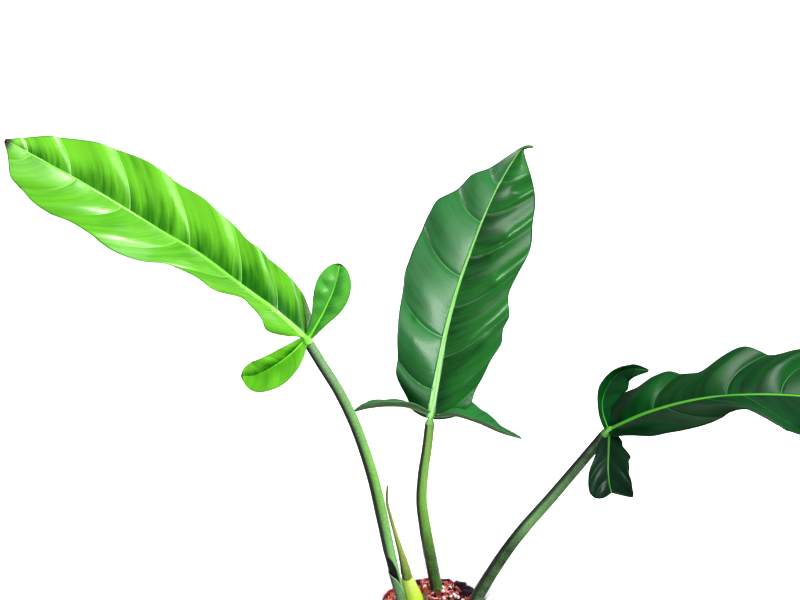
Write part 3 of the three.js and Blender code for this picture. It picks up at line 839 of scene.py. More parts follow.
@dataclass(frozen=True)
class Lobe:
    """One lobe of a blade. Left and right are as seen from its upper face with the tip up.

    Each station holds the midrib's point, then the left half's width and its rise in degrees, then the right
    half's. Each pucker holds its place along, its place sideways, its height and its spread.
    """

    stations: tuple[tuple[float, ...], ...]
    face: Point
    left: Half = Half()
    right: Half = Half()
    puckers: tuple[tuple[float, ...], ...] = ()
    # How far the lobe leans to its leaf's base colour: a tint, and painted shadow on the right blade's lower lobe.
    tone: float = 0.0
    veined: float = 0.0
    round_end: float = 0.0
    sweep: float = 0.0
    arch: float = 0.1
    rib_depth: float = 1.2
    rib_half: Pair = (1.2, 0.4)
    rows: int = 70
    columns: int = 18

    thickness = 0.9
    rib_taper = 0.8
    rib_slimming = 1.7
    rib_edge = 0.5
    rib_columns = 5
    ridge = 0.35
    crease = 0.3
    crease_width = 1.5
    fade_tip = 0.2
    fade_midrib = 0.625
    fade_narrow = 12.0
    least_half = 0.5

    def _read(self, first: int, last: int) -> Spline:
        """Gives the curve through some of the stations' numbers."""
        return Spline([station[first:last] for station in self.stations])

    def _half(self, side: int) -> Half:
        """Gives the half on a side."""
        return self.right if side > 0 else self.left

    def _width(self, along: Array, side: int) -> Array:
        """Gives how far a margin lies from the midrib, with its waves and its round end.

        Args:
            along: Shares of the midrib's length.
            side: -1 for the left half, 1 for the right.

        Returns:
            The widths in millimetres.
        """
        column = 4 + side
        width = self._read(column, column + 1).at(along)[..., 0] + swells(along, self._half(side).waves)
        if self.round_end:
            past = np.clip((along - 1 + self.round_end) / self.round_end, 0, 1)
            width = width * np.sqrt(1 - past**2)
        return np.maximum(self.least_half, width)

    def _shift(self, along: Array, out: Array, side: int) -> Array:
        """Gives how far the veins have bent towards the tip, as a share of the midrib's length."""
        slope, curve = self._half(side).bend
        return self._width(along, side) / self._read(0, 3).length() * (slope * out + curve * out**2)

    def _rib_half(self, along: Array) -> Array:
        """Gives the pale midrib's half width, in millimetres."""
        return self.rib_half[1] + (self.rib_half[0] - self.rib_half[1]) * (1 - along) ** self.rib_slimming

    def surface(self, along: Array, out: Array, side: int) -> dict[str, Array]:
        """Reads one half of the lobe's middle surface.

        Args:
            along: Shares of the midrib's length, any shape.
            out: Shares of the half width, the same shape.
            side: -1 for the left half, 1 for the right.

        Returns:
            The points in millimetres, and the phase, span, width and grain there.
        """
        half, midrib, column = self._half(side), self._read(0, 3), 5 + side
        length = midrib.length()
        middle, forward = midrib.at(along), midrib.heading(along)
        face = np.array(self.face)
        up = unit(face - forward * (forward @ face)[..., None])
        across = np.cross(forward, up)
        width = self._width(along, side)
        rise = np.radians(self._read(column, column + 1).at(along)[..., 0] + swells(along, half.tilts))
        source = along - self._shift(along, out, side)
        marks = np.array([0.0, *half.veins, 1.0])
        phase = np.interp(source, marks, np.arange(len(marks)))
        phase = np.where(source < 0, source / (marks[1] - marks[0]), phase)
        index = np.clip(phase.astype(int), 0, len(marks) - 2)
        span = (marks[index + 1] - marks[index]) * length
        share = np.clip(phase - index, 0, 1)
        swell = np.sin(np.pi * share) + half.lean * np.sin(2 * np.pi * share) - 0.5
        fade = np.minimum(1, (1 - along) / self.fade_tip) * np.minimum(1, out / self.fade_midrib)
        fade = fade * np.minimum(1, width / self.fade_narrow)
        gap = np.abs(phase - np.round(phase)) * span
        real = (phase > 0.5) & (phase < len(marks) - 1.5) & (self.veined > 0)
        crease = self.crease * np.exp(-((gap / self.crease_width) ** 2)) * real * np.minimum(1, out * 6)
        lift = width * (out * np.sin(rise) + self.arch * out * (1 - out)) + half.quilt * swell * fade - crease
        sideways = side * out * width
        for place, beside, height, spread in self.puckers:
            away = np.hypot((along - place) * length, sideways - beside) / spread
            lift = lift + height * np.exp(-(away**2))
        points = middle + across * (sideways * np.cos(rise))[..., None] + up * lift[..., None]
        points = points + forward * (self.sweep * width * out**2)[..., None]
        grain = np.stack([source * length, sideways], axis=-1)
        return {"points": points, "phase": phase, "span": span, "width": width, "grain": grain}

    def _columns(self, along: Array) -> Array:
        """Gives where columns lie, close together over the midrib.

        Args:
            along: The rows' shares of the midrib's length.

        Returns:
            Shares of the half width, a row for each share.
        """
        depth = self.rib_depth * (1 - self.rib_taper * along)
        widest = np.maximum(*(self._width(along, side) for side in SIDES))
        rib = np.minimum((self.rib_edge + np.maximum(depth, self._rib_half(along))) / widest, 0.4)[:, None]
        steps = np.linspace(0, 1, self.columns - self.rib_columns + 2)[None, 1:]
        return np.hstack([rib * np.linspace(0, 1, self.rib_columns)[None, :], rib + (1 - rib) * steps])

    def add_to(self, shell: Shell) -> None:
        """Adds the lobe as a sheet with a rounded margin and its midrib raised on both faces.

        Args:
            shell: The shell that it joins.
        """
        share = np.linspace(0, 1, self.rows + 1)
        along = np.sin(share * np.pi / 2) if self.round_end else share
        shares = self._columns(along)
        full = np.repeat(along[:, None], shares.shape[1], axis=1)
        left, right = (self.surface(full, shares, side) for side in SIDES)
        merged = {key: np.concatenate([left[key][:, :0:-1], right[key]], axis=1) for key in left}
        points, width, beside = merged["points"], merged["width"], merged["grain"][..., 1]
        out = np.concatenate([shares[:, :0:-1], shares], axis=1)
        normal = unit(np.cross(np.gradient(points, axis=1), np.gradient(points, axis=0)))
        full = np.repeat(along[:, None], out.shape[1], axis=1)
        depth = self.rib_depth * (1 - self.rib_taper * full)
        rib = self._rib_half(full)
        above = self.ridge * rib * np.maximum(0, 1 - (beside / rib) ** 2)
        below = depth * np.maximum(0, 1 - (beside / (self.rib_edge + depth)) ** 2)
        top, bottom = (points + way * normal * (self.thickness / 2 + more)[..., None]
                       for way, more in ((1, above), (-1, below)))
        shell.close(top, bottom, merged["grain"], {
            "phase": merged["phase"],
            "span": merged["span"],
            "veins": np.where(beside < 0, len(self.left.veins), len(self.right.veins)) * self.veined,
            "margin": (1 - out) * width,
            "reach": width,
            "rib": rib,
            "along": full,
            "tone": np.full_like(full, self.tone),
        })

    def vein_paths(self, steps: int = 14) -> list[tuple[Array, float]]:
        """Gives the lateral veins on the lower face.

        Args:
            steps: The points of each path.

        Returns:
            The paths in millimetres, each with the width of the half where it starts.
        """
        paths = []
        out = np.linspace(0.02, 0.92, steps)
        for side in SIDES:
            for place in self._half(side).veins:
                along = np.full(steps, place)
                for _ in range(4):
                    along = np.minimum(place + self._shift(along, out, side), 0.995)
                ahead, inside = np.minimum(along + 0.01, 1), np.maximum(out - 0.02, 0)
                points, nudged, inward = (
                    self.surface(at, beside, side)["points"]
                    for at, beside in ((along, out), (ahead, out), (along, inside))
                )
                normal = unit(np.cross(points - inward, nudged - points) * side)
                paths.append((points - normal * self.thickness / 2, float(self._width(np.array([place]), side)[0])))
        return paths


@dataclass(frozen=True)
class MainLobe(Lobe):
    """The long middle lobe of a blade, with pale veins, a deep midrib and a fine grid."""

    veined: float = 1.0
    sweep: float = 0.3
    arch: float = 0.08
    rib_depth: float = 2.6
    rows: int = 220
    columns: int = 40


class StemTree:
    """The node tree that gives a path its round, slightly fluted skin."""

    def build(self) -> NodeTree:
        """Builds the tree.

        Returns:
            The tree. Its input is a line of points that hold their girth and how far along they are.
        """
        nodes, entry = open_tree("Stem skin", "Geometry", {
            "Geometry": ("Geometry",), "Int": ("Sides", "Flutes", "Seed"),
            "Float": ("Flute depth", "Wobble", "Wobble length"), "Material": ("Finish",),
        }, {"Geometry": ("Geometry",)})
        line = nodes.one("GeometryNodeMeshToCurve", {0: entry["Geometry"]})
        circle = nodes.one("GeometryNodeCurvePrimitiveCircle", {"Resolution": entry["Sides"], "Radius": 1.0})
        angle = nodes.times(nodes.add("GeometryNodeSplineParameter").outputs["Factor"], math.tau)
        for label, operation in (("round_x", "COSINE"), ("round_y", "SINE")):
            inputs = {"Geometry": circle, "Name": label, "Value": nodes.math(operation, angle)}
            circle = nodes.one("GeometryNodeStoreNamedAttribute", inputs, data_type="FLOAT", domain="POINT")
        girth, *around = (
            nodes.one("GeometryNodeInputNamedAttribute", {"Name": label}, data_type="FLOAT")
            for label in ("girth", "round_x", "round_y")
        )
        sized = nodes.one("GeometryNodeSetCurveRadius", {0: line, "Radius": girth})
        skin = nodes.add("GeometryNodeCurveToMesh", {"Curve": sized, "Profile Curve": circle, "Fill Caps": True})
        if "Scale" in skin.inputs:
            nodes.tree.links.new(girth, skin.inputs["Scale"])
        turned = nodes.times(nodes.math("ARCTAN2", around[1], around[0]), entry["Flutes"])
        flute = nodes.times(nodes.math("COSINE", turned), entry["Flute depth"])
        spread = nodes.scaled(
            nodes.one("GeometryNodeInputPosition"), nodes.math("DIVIDE", 1.0, entry["Wobble length"])
        )
        inputs = {"Vector": spread, "W": entry["Seed"], "Scale": 1.0, "Detail": 2.0}
        grain = nodes.add("ShaderNodeTexNoise", inputs, noise_dimensions="4D").outputs["Fac"]
        wobble = nodes.times(nodes.centred(grain), entry["Wobble"])
        offset = nodes.scaled(
            nodes.one("GeometryNodeInputNormal"), nodes.times(nodes.math("ADD", flute, wobble), girth)
        )
        moved = nodes.one("GeometryNodeSetPosition", {"Geometry": skin.outputs[0], "Offset": offset})
        real = nodes.one("GeometryNodeRealizeInstances", {0: moved})
        nodes.add("NodeGroupOutput", {
            0: nodes.one("GeometryNodeSetMaterial", {"Geometry": real, "Material": entry["Finish"]}),
        })
        return nodes.tree


def run_tree(source: Object, tree: NodeTree, values: dict[str, object]) -> Mesh:
    """Runs a geometry tree on an object and keeps only its result.

    Args:
        source: The object that the tree reads, which is removed.
        tree: The geometry node tree.
        values: The tree's inputs by name.

    Returns:
        The result as a plain mesh.
    """
    modifier = source.modifiers.new("maker", "NODES")
    modifier.node_group = tree
    for item in tree.interface.items_tree:
        if item.item_type == "SOCKET" and item.in_out == "INPUT" and item.name in values:
            modifier[item.identifier] = values[item.name]
    return harvest(source)


def skin_lines(
    name: str, lines: Sequence[tuple[Array, Array]], tree: NodeTree, material: Material, values: dict[str, float]
) -> Object:
    """Skins open lines by the stem tree.

    Args:
        name: The piece's name.
        lines: For each line its points and its radius at each of them, in millimetres.
        tree: The stem tree.
        material: The piece's finish.
        values: The tree's other inputs by name.

    Returns:
        The finished piece, not yet riding.
    """
    counts = [len(path) for path, _ in lines]
    ends = set(np.cumsum(counts).tolist())
    edges = [(i, i + 1) for i in range(sum(counts) - 1) if i + 1 not in ends]
    mesh = make_mesh("lines", np.vstack([path for path, _ in lines]), edges=edges)
    store(mesh, "girth", np.concatenate([radii for _, radii in lines]) * MM)
    store(mesh, "along", np.concatenate([np.linspace(0, 1, count) for count in counts]))
    return finish_mesh(run_tree(stand("lines", mesh), tree, {**values, "Finish": material}), name, material)


@dataclass(frozen=True)
class Sheathing:
    """The mouth of a petiole's sheath: a hollow pressed into the skin and painted dark as shade, and the lip that
    closes it from below.

    Each edge is a row of heights in millimetres and turns round the stem, which are in degrees from the viewer's
    side and grow to the right.
    """

    hollow: tuple[Pair, ...] = (
        (84, 80), (97, 62), (105, 56), (112, 50), (116.5, 32), (121, 12), (124, -18), (126.5, -75),
    )
    hollow_left: float = -84.0
    soften: float = 7.0
    depth: float = 1.2
    lip: tuple[Pair, ...] = (
        (58, 88), (70, 84), (85, 72), (92, 56), (97, 40), (102, 18), (105, -4), (107, -38), (108.5, -74),
    )
    lip_left: float = -118.0
    lip_gap: float = 0.1
    lip_bulge: float = 0.5
    lip_thickness: float = 0.5
    lip_flare: float = 0.5
    lip_rim: float = 9.0
    lip_grain: Pair = (20.0, 50.0)

    def right_edge(self, edge: tuple[Pair, ...], height: Array) -> Array:
        """Gives the turn at which the hollow or the lip ends on its right, at heights."""
        heights, turns = np.array(edge).T
        return Spline(turns[:, None]).at(np.interp(height, heights, np.linspace(0, 1, len(heights))))[..., 0]


@dataclass
class Stem:
    """A stem along a path, skinned by the stem tree."""

    name: str
    path: tuple[Point, ...]
    radii: tuple[float, ...]
    steps: int = 120
    sides: int = 28
    flutes: int = 5
    flute_depth: float = 0.02
    wobble: float = 0.08
    seed: int = 1
    sheathing: Sheathing | None = None

    def line(self) -> tuple[Array, Array]:
        """Gives the path's points and radii, evenly spaced by length."""
        places = np.linspace(0, len(self.radii) - 1, self.steps + 1)
        return Spline(self.path).even(self.steps), np.interp(places, np.arange(len(self.radii)), self.radii)

    def build(self, tree: NodeTree, material: Material) -> Object:
        """Builds the stem.

        Args:
            tree: The stem tree.
            material: The stem's finish.

        Returns:
            The finished piece, not yet riding.
        """
        piece = skin_lines(self.name, [self.line()], tree, material, {
            "Sides": self.sides, "Flutes": self.flutes, "Flute depth": self.flute_depth, "Wobble": self.wobble,
            "Wobble length": 0.02, "Seed": self.seed,
        })
        if self.sheathing:
            self._open_sheath(piece.data, self.sheathing)
        return piece

    def axis_at(self, height: Array) -> tuple[Array, Array]:
        """Reads the stem's axis at heights.

        Args:
            height: The heights in millimetres.

        Returns:
            The path's points and the stem's radius there.
        """
        points, radii = self.line()
        middle = np.stack([np.interp(height, points[:, 2], points[:, axis]) for axis in range(3)], axis=-1)
        return middle, np.interp(height, points[:, 2], radii)

    def _open_sheath(self, mesh: Mesh, mouth: Sheathing) -> None:
        """Presses the hollow into the skin and marks it as shaded.

        Args:
            mesh: The stem's skin.
            mouth: The sheath's mouth.
        """
        points = points_of(mesh)
        height = points[:, 2]
        outward = unit(points - self.axis_at(height)[0])
        turned = np.degrees(np.arctan2(outward[:, 0], -outward[:, 1]))
        lowest, highest = mouth.hollow[0][0], mouth.hollow[-1][0]
        right = mouth.right_edge(mouth.hollow, np.clip(height, lowest, highest))
        inside = 1.0
        for share in (
            (right - turned) / mouth.soften, (turned - mouth.hollow_left) / mouth.soften,
            (highest - height) / 2, (height - lowest + 2) / 2,
        ):
            inside = inside * np.clip(share, 0, 1)
        points = points - outward * (mouth.depth * inside)[:, None]
        mesh.vertices.foreach_set("co", (points * MM).ravel())
        store(mesh, "shade", inside)
        mesh.update()

    def add_lip(self, name: str, material: Material, rows: int = 60, columns: int = 40) -> Object:
        """Builds the lip that wraps the stem below the hollow.

        Args:
            name: The piece's name.
            material: The stem's finish.
            rows: Steps up the lip.
            columns: Steps round the stem.

        Returns:
            The finished piece, not yet riding.
        """
        mouth = self.sheathing
        up, share = np.linspace(0, 1, rows)[:, None], np.linspace(0, 1, columns)[None, :]
        height = mouth.lip[0][0] + (mouth.lip[-1][0] - mouth.lip[0][0]) * up
        right = mouth.right_edge(mouth.lip, height)
        turn = np.radians(mouth.lip_left + (right - mouth.lip_left) * share)
        middle, radius = self.axis_at(np.broadcast_to(height, turn.shape))
        puff = mouth.lip_bulge * np.sin(np.pi * up**0.8) * np.sin(np.pi * share) ** 0.6 + mouth.lip_flare * up**3
        faces = []
        for out in (mouth.lip_gap + mouth.lip_thickness, mouth.lip_gap):
            reach = radius + out + puff
            faces.append(middle + np.stack([reach * np.sin(turn), -reach * np.cos(turn), 0.0 * turn], axis=-1))
        shell = Shell()
        grain = np.stack(np.broadcast_arrays(share * mouth.lip_grain[0], up * mouth.lip_grain[1]), axis=-1)
        shell.close(*faces, grain, {
            "along": np.broadcast_to(0.1 * up, turn.shape),
            "round_x": np.cos(turn),
            "round_y": np.sin(turn),
            "rim": np.clip(1 - (1 - share) * (right - mouth.lip_left) / mouth.lip_rim, 0, 1),
        })
        return shell.make(name, material)


@dataclass(frozen=True)
class Knob:
    """The narrowing end of a petiole, where it parts into the three midribs."""

    reach: float
    radius: float

    start = 0.3
    places = (0.3, 0.75, 1.15, 1.5)
    narrowing = (1.0, 0.85, 0.6, 0.2)

    def stem(self, name: str, petiole: Stem) -> Stem:
        """Gives the knob as a short stem that goes on from a petiole's end.

        Args:
            name: The piece's name.
            petiole: The petiole.

        Returns:
            The stem.
        """
        spline, end = Spline(petiole.path), np.array([1.0])
        places = (self.start, *(self.reach * place for place in self.places))
        path = tuple(tuple(spline.at(end)[0] + spline.heading(end)[0] * place) for place in places)
        radii = (petiole.radii[-1], *(self.radius * share for share in self.narrowing))
        return Stem(name, path, radii, steps=16, sides=24, flutes=3, flute_depth=0.05, wobble=0.1)


@dataclass(frozen=True)
class Blade:
    """A leaf's blade: its lobes, the knob that they meet at, and the lateral veins raised below."""

    side: str
    lobes: tuple[Lobe, ...]
    knob: Knob
    petiole: Stem

    vein_radius = 0.5
    vein_taper = 0.3
    full_width = 35.0

    def build(self, tree: NodeTree, material: Material, rib: Material) -> None:
        """Builds the blade's pieces and lets them ride.

        Args:
            tree: The stem tree, which skins the veins and the knob.
            material: The blade's finish.
            rib: The finish of the knob and the veins.
        """
        name = f"blade_{self.side}"
        shell = Shell()
        lines = []
        for lobe in self.lobes:
            lobe.add_to(shell)
            for path, width in lobe.vein_paths():
                girth = self.vein_radius * min(1.0, width / self.full_width)
                lines.append((path, np.linspace(girth, girth * self.vein_taper, len(path))))
        settle(shell.make(f"{name}_lamina", material), [name])
        settle(self.knob.stem(f"{name}_knob", self.petiole).build(tree, rib))
        settle(skin_lines(f"{name}_veins", lines, tree, rib, {
            "Sides": 6, "Flutes": 0, "Flute depth": 0.0, "Wobble": 0.1, "Wobble length": 0.01, "Seed": 3,
        }))


@dataclass(frozen=True)
class PotShape:
    """The pot's profile, worked out from its node's box and the sizes of its details in millimetres."""

    base_radius: float = 37.5
    wall: float = 1.5
    floor: float = 2.0
    foot_height: float = 3.0
    foot_inset: float = 2.0
    rim_band: float = 11.0
    rim_step: float = 1.6
    bead_depth: float = 0.4
    bead_height: float = 2.5
    lip_width: float = 2.8
    round_steps: int = 5
    segments: int = 160
    holes: int = 6
    hole_sides: int = 32
    hole_radius: float = 4.2
    hole_ring: float = 25.0
    grooves: tuple[float, ...] = (4.6, 6.0, 7.4)
    groove_depth: float = 0.25
    groove_half: float = 0.35

    height: float = field(default_factory=lambda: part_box("pot")[1].z / MM)
    rim_radius: float = field(default_factory=lambda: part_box("pot")[1].x / MM)

    def inner_radius(self, height: float) -> float:
        """Gives the inner wall's radius at a height."""
        share = min((height - self.foot_height) / (self.height - self.rim_band - self.foot_height), 1.0)
        return self.base_radius + (self.rim_radius - self.rim_step - self.base_radius) * share - self.wall

    def _arc(self, centre: Pair, radius: float, start: float) -> list[Pair]:
        """Gives points on an arc.

        Args:
            centre: Its middle.
            radius: Its radius.
            start: Its first angle in degrees. The arc ends at the next right angle.

        Returns:
            The points, from its start to its end.
        """
        end = (start // 90 + 1) * 90
        angles = [math.radians(start + (end - start) * i / self.round_steps) for i in range(self.round_steps + 1)]
        return [(centre[0] + radius * math.cos(a), centre[1] + radius * math.sin(a)) for a in angles]

    def profile(self) -> list[Pair]:
        """Gives the outline that is turned, from the middle of the base out, up and back down inside.

        Returns:
            Radii and heights in millimetres.
        """
        top, rim = self.height, self.rim_radius
        shoulder, band, mouth = top - self.rim_band, rim - self.bead_depth, rim - self.lip_width
        inside = []
        for groove in self.grooves:
            inner = mouth if groove == self.grooves[0] else mouth - 0.1
            inside += [
                (inner, top - groove + self.groove_half),
                (inner + self.groove_depth, top - groove),
                (inner, top - groove - self.groove_half),
            ]
        foot = self.foot_height + self.foot_inset
        return [
            (0.0, 0.0),
            (self.base_radius - self.foot_inset, 0.0),
            (self.base_radius - 0.6, self.foot_height * 0.55),
            (self.base_radius, self.foot_height),
            (rim - self.rim_step, shoulder - self.rim_step),
            (band - 0.15, shoulder - 0.2),
            (band, shoulder + 0.4),
            (band, top - self.bead_height - 0.8),
            *self._arc((rim - 0.5, top - self.bead_height), 0.5, -60),
            *self._arc((rim - 0.9, top - 0.9), 0.9, 0),
            *self._arc((mouth + 0.8, top - 0.8), 0.8, 90),
            *inside,
            (self.inner_radius(shoulder), shoulder),
            (self.inner_radius(foot), foot),
            (self.inner_radius(self.foot_height) - self.foot_inset, self.floor),
            (0.0, self.floor),
        ]

    def build(self, material: Material) -> None:
        """Builds the pot with its drainage holes and lets it ride.

        Args:
            material: The pot's finish.
        """
        profile = self.profile()
        turns = np.linspace(0, math.tau, self.segments, endpoint=False)
        rings = [ring(radius, turns, height) for radius, height in profile[1:-1]]
        points = np.vstack([*rings, [[0, 0, profile[0][1]], [0, 0, profile[-1][1]]]])
        mesh = make_mesh("pot_turned", points, turned_faces(len(rings), self.segments))
        piece = finish_mesh(mesh, "pot_turned", material)
        cutter = self._hole_cutter(material)
        cut = piece.modifiers.new("holes", "BOOLEAN")
        cut.operation, cut.solver, cut.object = "DIFFERENCE", "MANIFOLD", cutter
        mesh = harvest(piece)
        bpy.data.objects.remove(cutter)
        self._mark_inside(mesh)
        settle(finish_mesh(mesh, "pot_shell", material, sharp=35), ["pot"])

    def _hole_cutter(self, material: Material) -> Object:
        """Makes the solids that cut the drainage holes.

        Args:
            material: The finish of the cut faces.

        Returns:
            The object, which is removed after the cut.
        """
        points, faces, sides = [], [], self.hole_sides
        angles = np.arange(sides) / sides * math.tau
        for hole in range(self.holes):
            start, turn = hole * 2 * sides, hole / self.holes * math.tau
            middle = (self.hole_ring * math.cos(turn), self.hole_ring * math.sin(turn), 0.0)
            points += [ring(self.hole_radius, angles, height) + middle for height in (-self.floor, 2 * self.floor)]
            faces.append([start + sides - 1 - side for side in range(sides)])
            faces.append([start + sides + side for side in range(sides)])
            for side in range(sides):
                after = (side + 1) % sides
                faces.append([start + side, start + after, start + sides + after, start + sides + side])
        return finish_mesh(make_mesh("hole_cutter", np.vstack(points), faces), "hole_cutter", material)

    def _mark_inside(self, mesh: Mesh) -> None:
        """Marks the points of the inner wall, where the mix leaves dust.

        Args:
            mesh: The pot's mesh.
        """
        x, y, height = points_of(mesh).T
        wall = np.array([self.inner_radius(max(z, self.foot_height)) for z in height])
        store(mesh, "inside", (np.hypot(x, y) < wall + self.wall * 0.5) & (height > self.floor * 0.5))


class Crumb(Enum):
    """The forms that are scattered in the mix."""

    GRAIN = "GeometryNodeMeshIcoSphere"
    CHIP = "GeometryNodeMeshCube"
    FIBRE = "GeometryNodeCurvePrimitiveLine"

    def form(self, nodes: Nodes) -> NodeSocket:
        """Adds one form, about one unit in size.

        Args:
            nodes: The tree's nodes.

        Returns:
            The form's mesh or curve.
        """
        if self is Crumb.GRAIN:
            return nodes.one(self.value, {"Radius": 0.5, "Subdivisions": 3})
        if self is Crumb.CHIP:
            return nodes.one(self.value, {"Size": (1.0, 1.0, 1.0), "Vertices X": 7, "Vertices Y": 5, "Vertices Z": 3})
        line = nodes.one(self.value, {"Start": (-0.5, 0.0, 0.0), "End": (0.5, 0.0, 0.0)})
        return nodes.one("GeometryNodeResampleCurve", {"Curve": line, "Count": 8})


@dataclass(frozen=True)
class CrumbTree:
    """The node tree that scatters one form over the mix."""

    kind: Crumb

    def build(self) -> NodeTree:
        """Builds the tree.

        Returns:
            The tree. Its input is the top of the mix, and its output holds only what is scattered.
        """
        thread = self.kind is Crumb.FIBRE
        nodes, entry = open_tree(f"Scattered {self.kind.name.lower()}s", "Geometry", {
            "Geometry": ("Geometry",), "Object": ("Spots",), "Int": ("Seed",),
            "Vector": ("Smallest", "Largest", "Tilt"), "Float": ("Density", "Lift", "Lumps", "Lump size", "Girth"),
            "Material": ("Finish",),
        }, {"Geometry": ("Geometry",)})
        inputs = {"Mesh": entry["Geometry"], "Density": entry["Density"], "Seed": entry["Seed"]}
        spread = nodes.one("GeometryNodeDistributePointsOnFaces", inputs)
        if not thread:
            spots = nodes.add("GeometryNodeObjectInfo", {"Object": entry["Spots"]}).outputs["Geometry"]
            both = nodes.add("GeometryNodeJoinGeometry", {0: spread})
            nodes.tree.links.new(nodes.one("GeometryNodeMeshToPoints", {0: spots}), both.inputs[0])
            spread = both.outputs[0]
        draw = 3 if thread else 1
        turned = self._between(nodes, nodes.scaled(entry["Tilt"], -1.0), entry["Tilt"], entry["Seed"], draw)
        sized = self._between(nodes, entry["Smallest"], entry["Largest"], entry["Seed"], draw + 1)
        inputs = {"Points": spread, "Instance": self.kind.form(nodes), "Rotation": turned, "Scale": sized}
        placed = nodes.one("GeometryNodeInstanceOnPoints", inputs)
        inputs = {0: placed, "Translation": nodes.vector(0.0, 0.0, entry["Lift"]), "Local Space": False}
        real = nodes.one("GeometryNodeRealizeInstances", {0: nodes.one("GeometryNodeTranslateInstances", inputs)})
        place = nodes.scaled(nodes.one("GeometryNodeInputPosition"), nodes.math("DIVIDE", 1.0, entry["Lump size"]))
        inputs = {"Vector": place, "Scale": 1.0, "Detail": 1.0 if thread else 2.0}
        inputs = {0: nodes.add("ShaderNodeTexNoise", inputs).outputs["Color"], 1: (0.5, 0.5, 0.5)}
        offset = nodes.scaled(nodes.one("ShaderNodeVectorMath", inputs, operation="SUBTRACT"), entry["Lumps"])
        made = nodes.one("GeometryNodeSetPosition", {"Geometry": real, "Offset": offset})
        if thread:
            sized = nodes.one("GeometryNodeSetCurveRadius", {0: made, "Radius": 1.0})
            circle = nodes.one("GeometryNodeCurvePrimitiveCircle", {"Resolution": 4, "Radius": entry["Girth"]})
            inputs = {"Curve": sized, "Profile Curve": circle, "Fill Caps": True}
            made = nodes.one("GeometryNodeCurveToMesh", inputs)
        nodes.add("NodeGroupOutput", {
            0: nodes.one("GeometryNodeSetMaterial", {"Geometry": made, "Material": entry["Finish"]}),
        })
        return nodes.tree

    @staticmethod
    def _between(nodes: Nodes, low: Value, high: Value, seed: Value, draw: int) -> NodeSocket:
        """Adds a random vector between two others.

        Args:
            nodes: The tree's nodes.
            low: The lowest vector.
            high: The highest vector.
            seed: The tree's seed.
            draw: The number of the draw, which sets it apart from the others.

        Returns:
            The vector.
        """
        node = nodes.add("FunctionNodeRandomValue", data_type="FLOAT_VECTOR")
        number = nodes.math("ADD", seed, draw * 100.0)
        for key, value in (("Min", low), ("Max", high), ("Seed", number)):
            nodes.tree.links.new(value, next(s for s in node.inputs if s.name == key and s.enabled))
        return next(s for s in node.outputs if s.enabled)


@dataclass(frozen=True)
class Scatter:
    """One kind of crumb: its form, finish and slot, how dense it lies, its sizes in metres and its chosen spots."""

    name: str
    kind: Crumb
    finish: CrumbFinish
    density: float
    seed: int
    smallest: Point
    largest: Point
    lift: float
    lumps: float
    lump_size: float
    tilt: Point = (0.35, 0.35, math.pi)
    girth: float = 0.0
    slot: str | None = "soil"
    spots: tuple[Pair, ...] = ()

    def values(self) -> dict[str, object]:
        """Gives what the tree is told.

        Returns:
            The tree's inputs by name.
        """
        return {
            "Density": self.density, "Seed": self.seed, "Smallest": self.smallest, "Largest": self.largest,
            "Tilt": self.tilt, "Lift": self.lift, "Lumps": self.lumps, "Lump size": self.lump_size,
            "Girth": self.girth,
        }


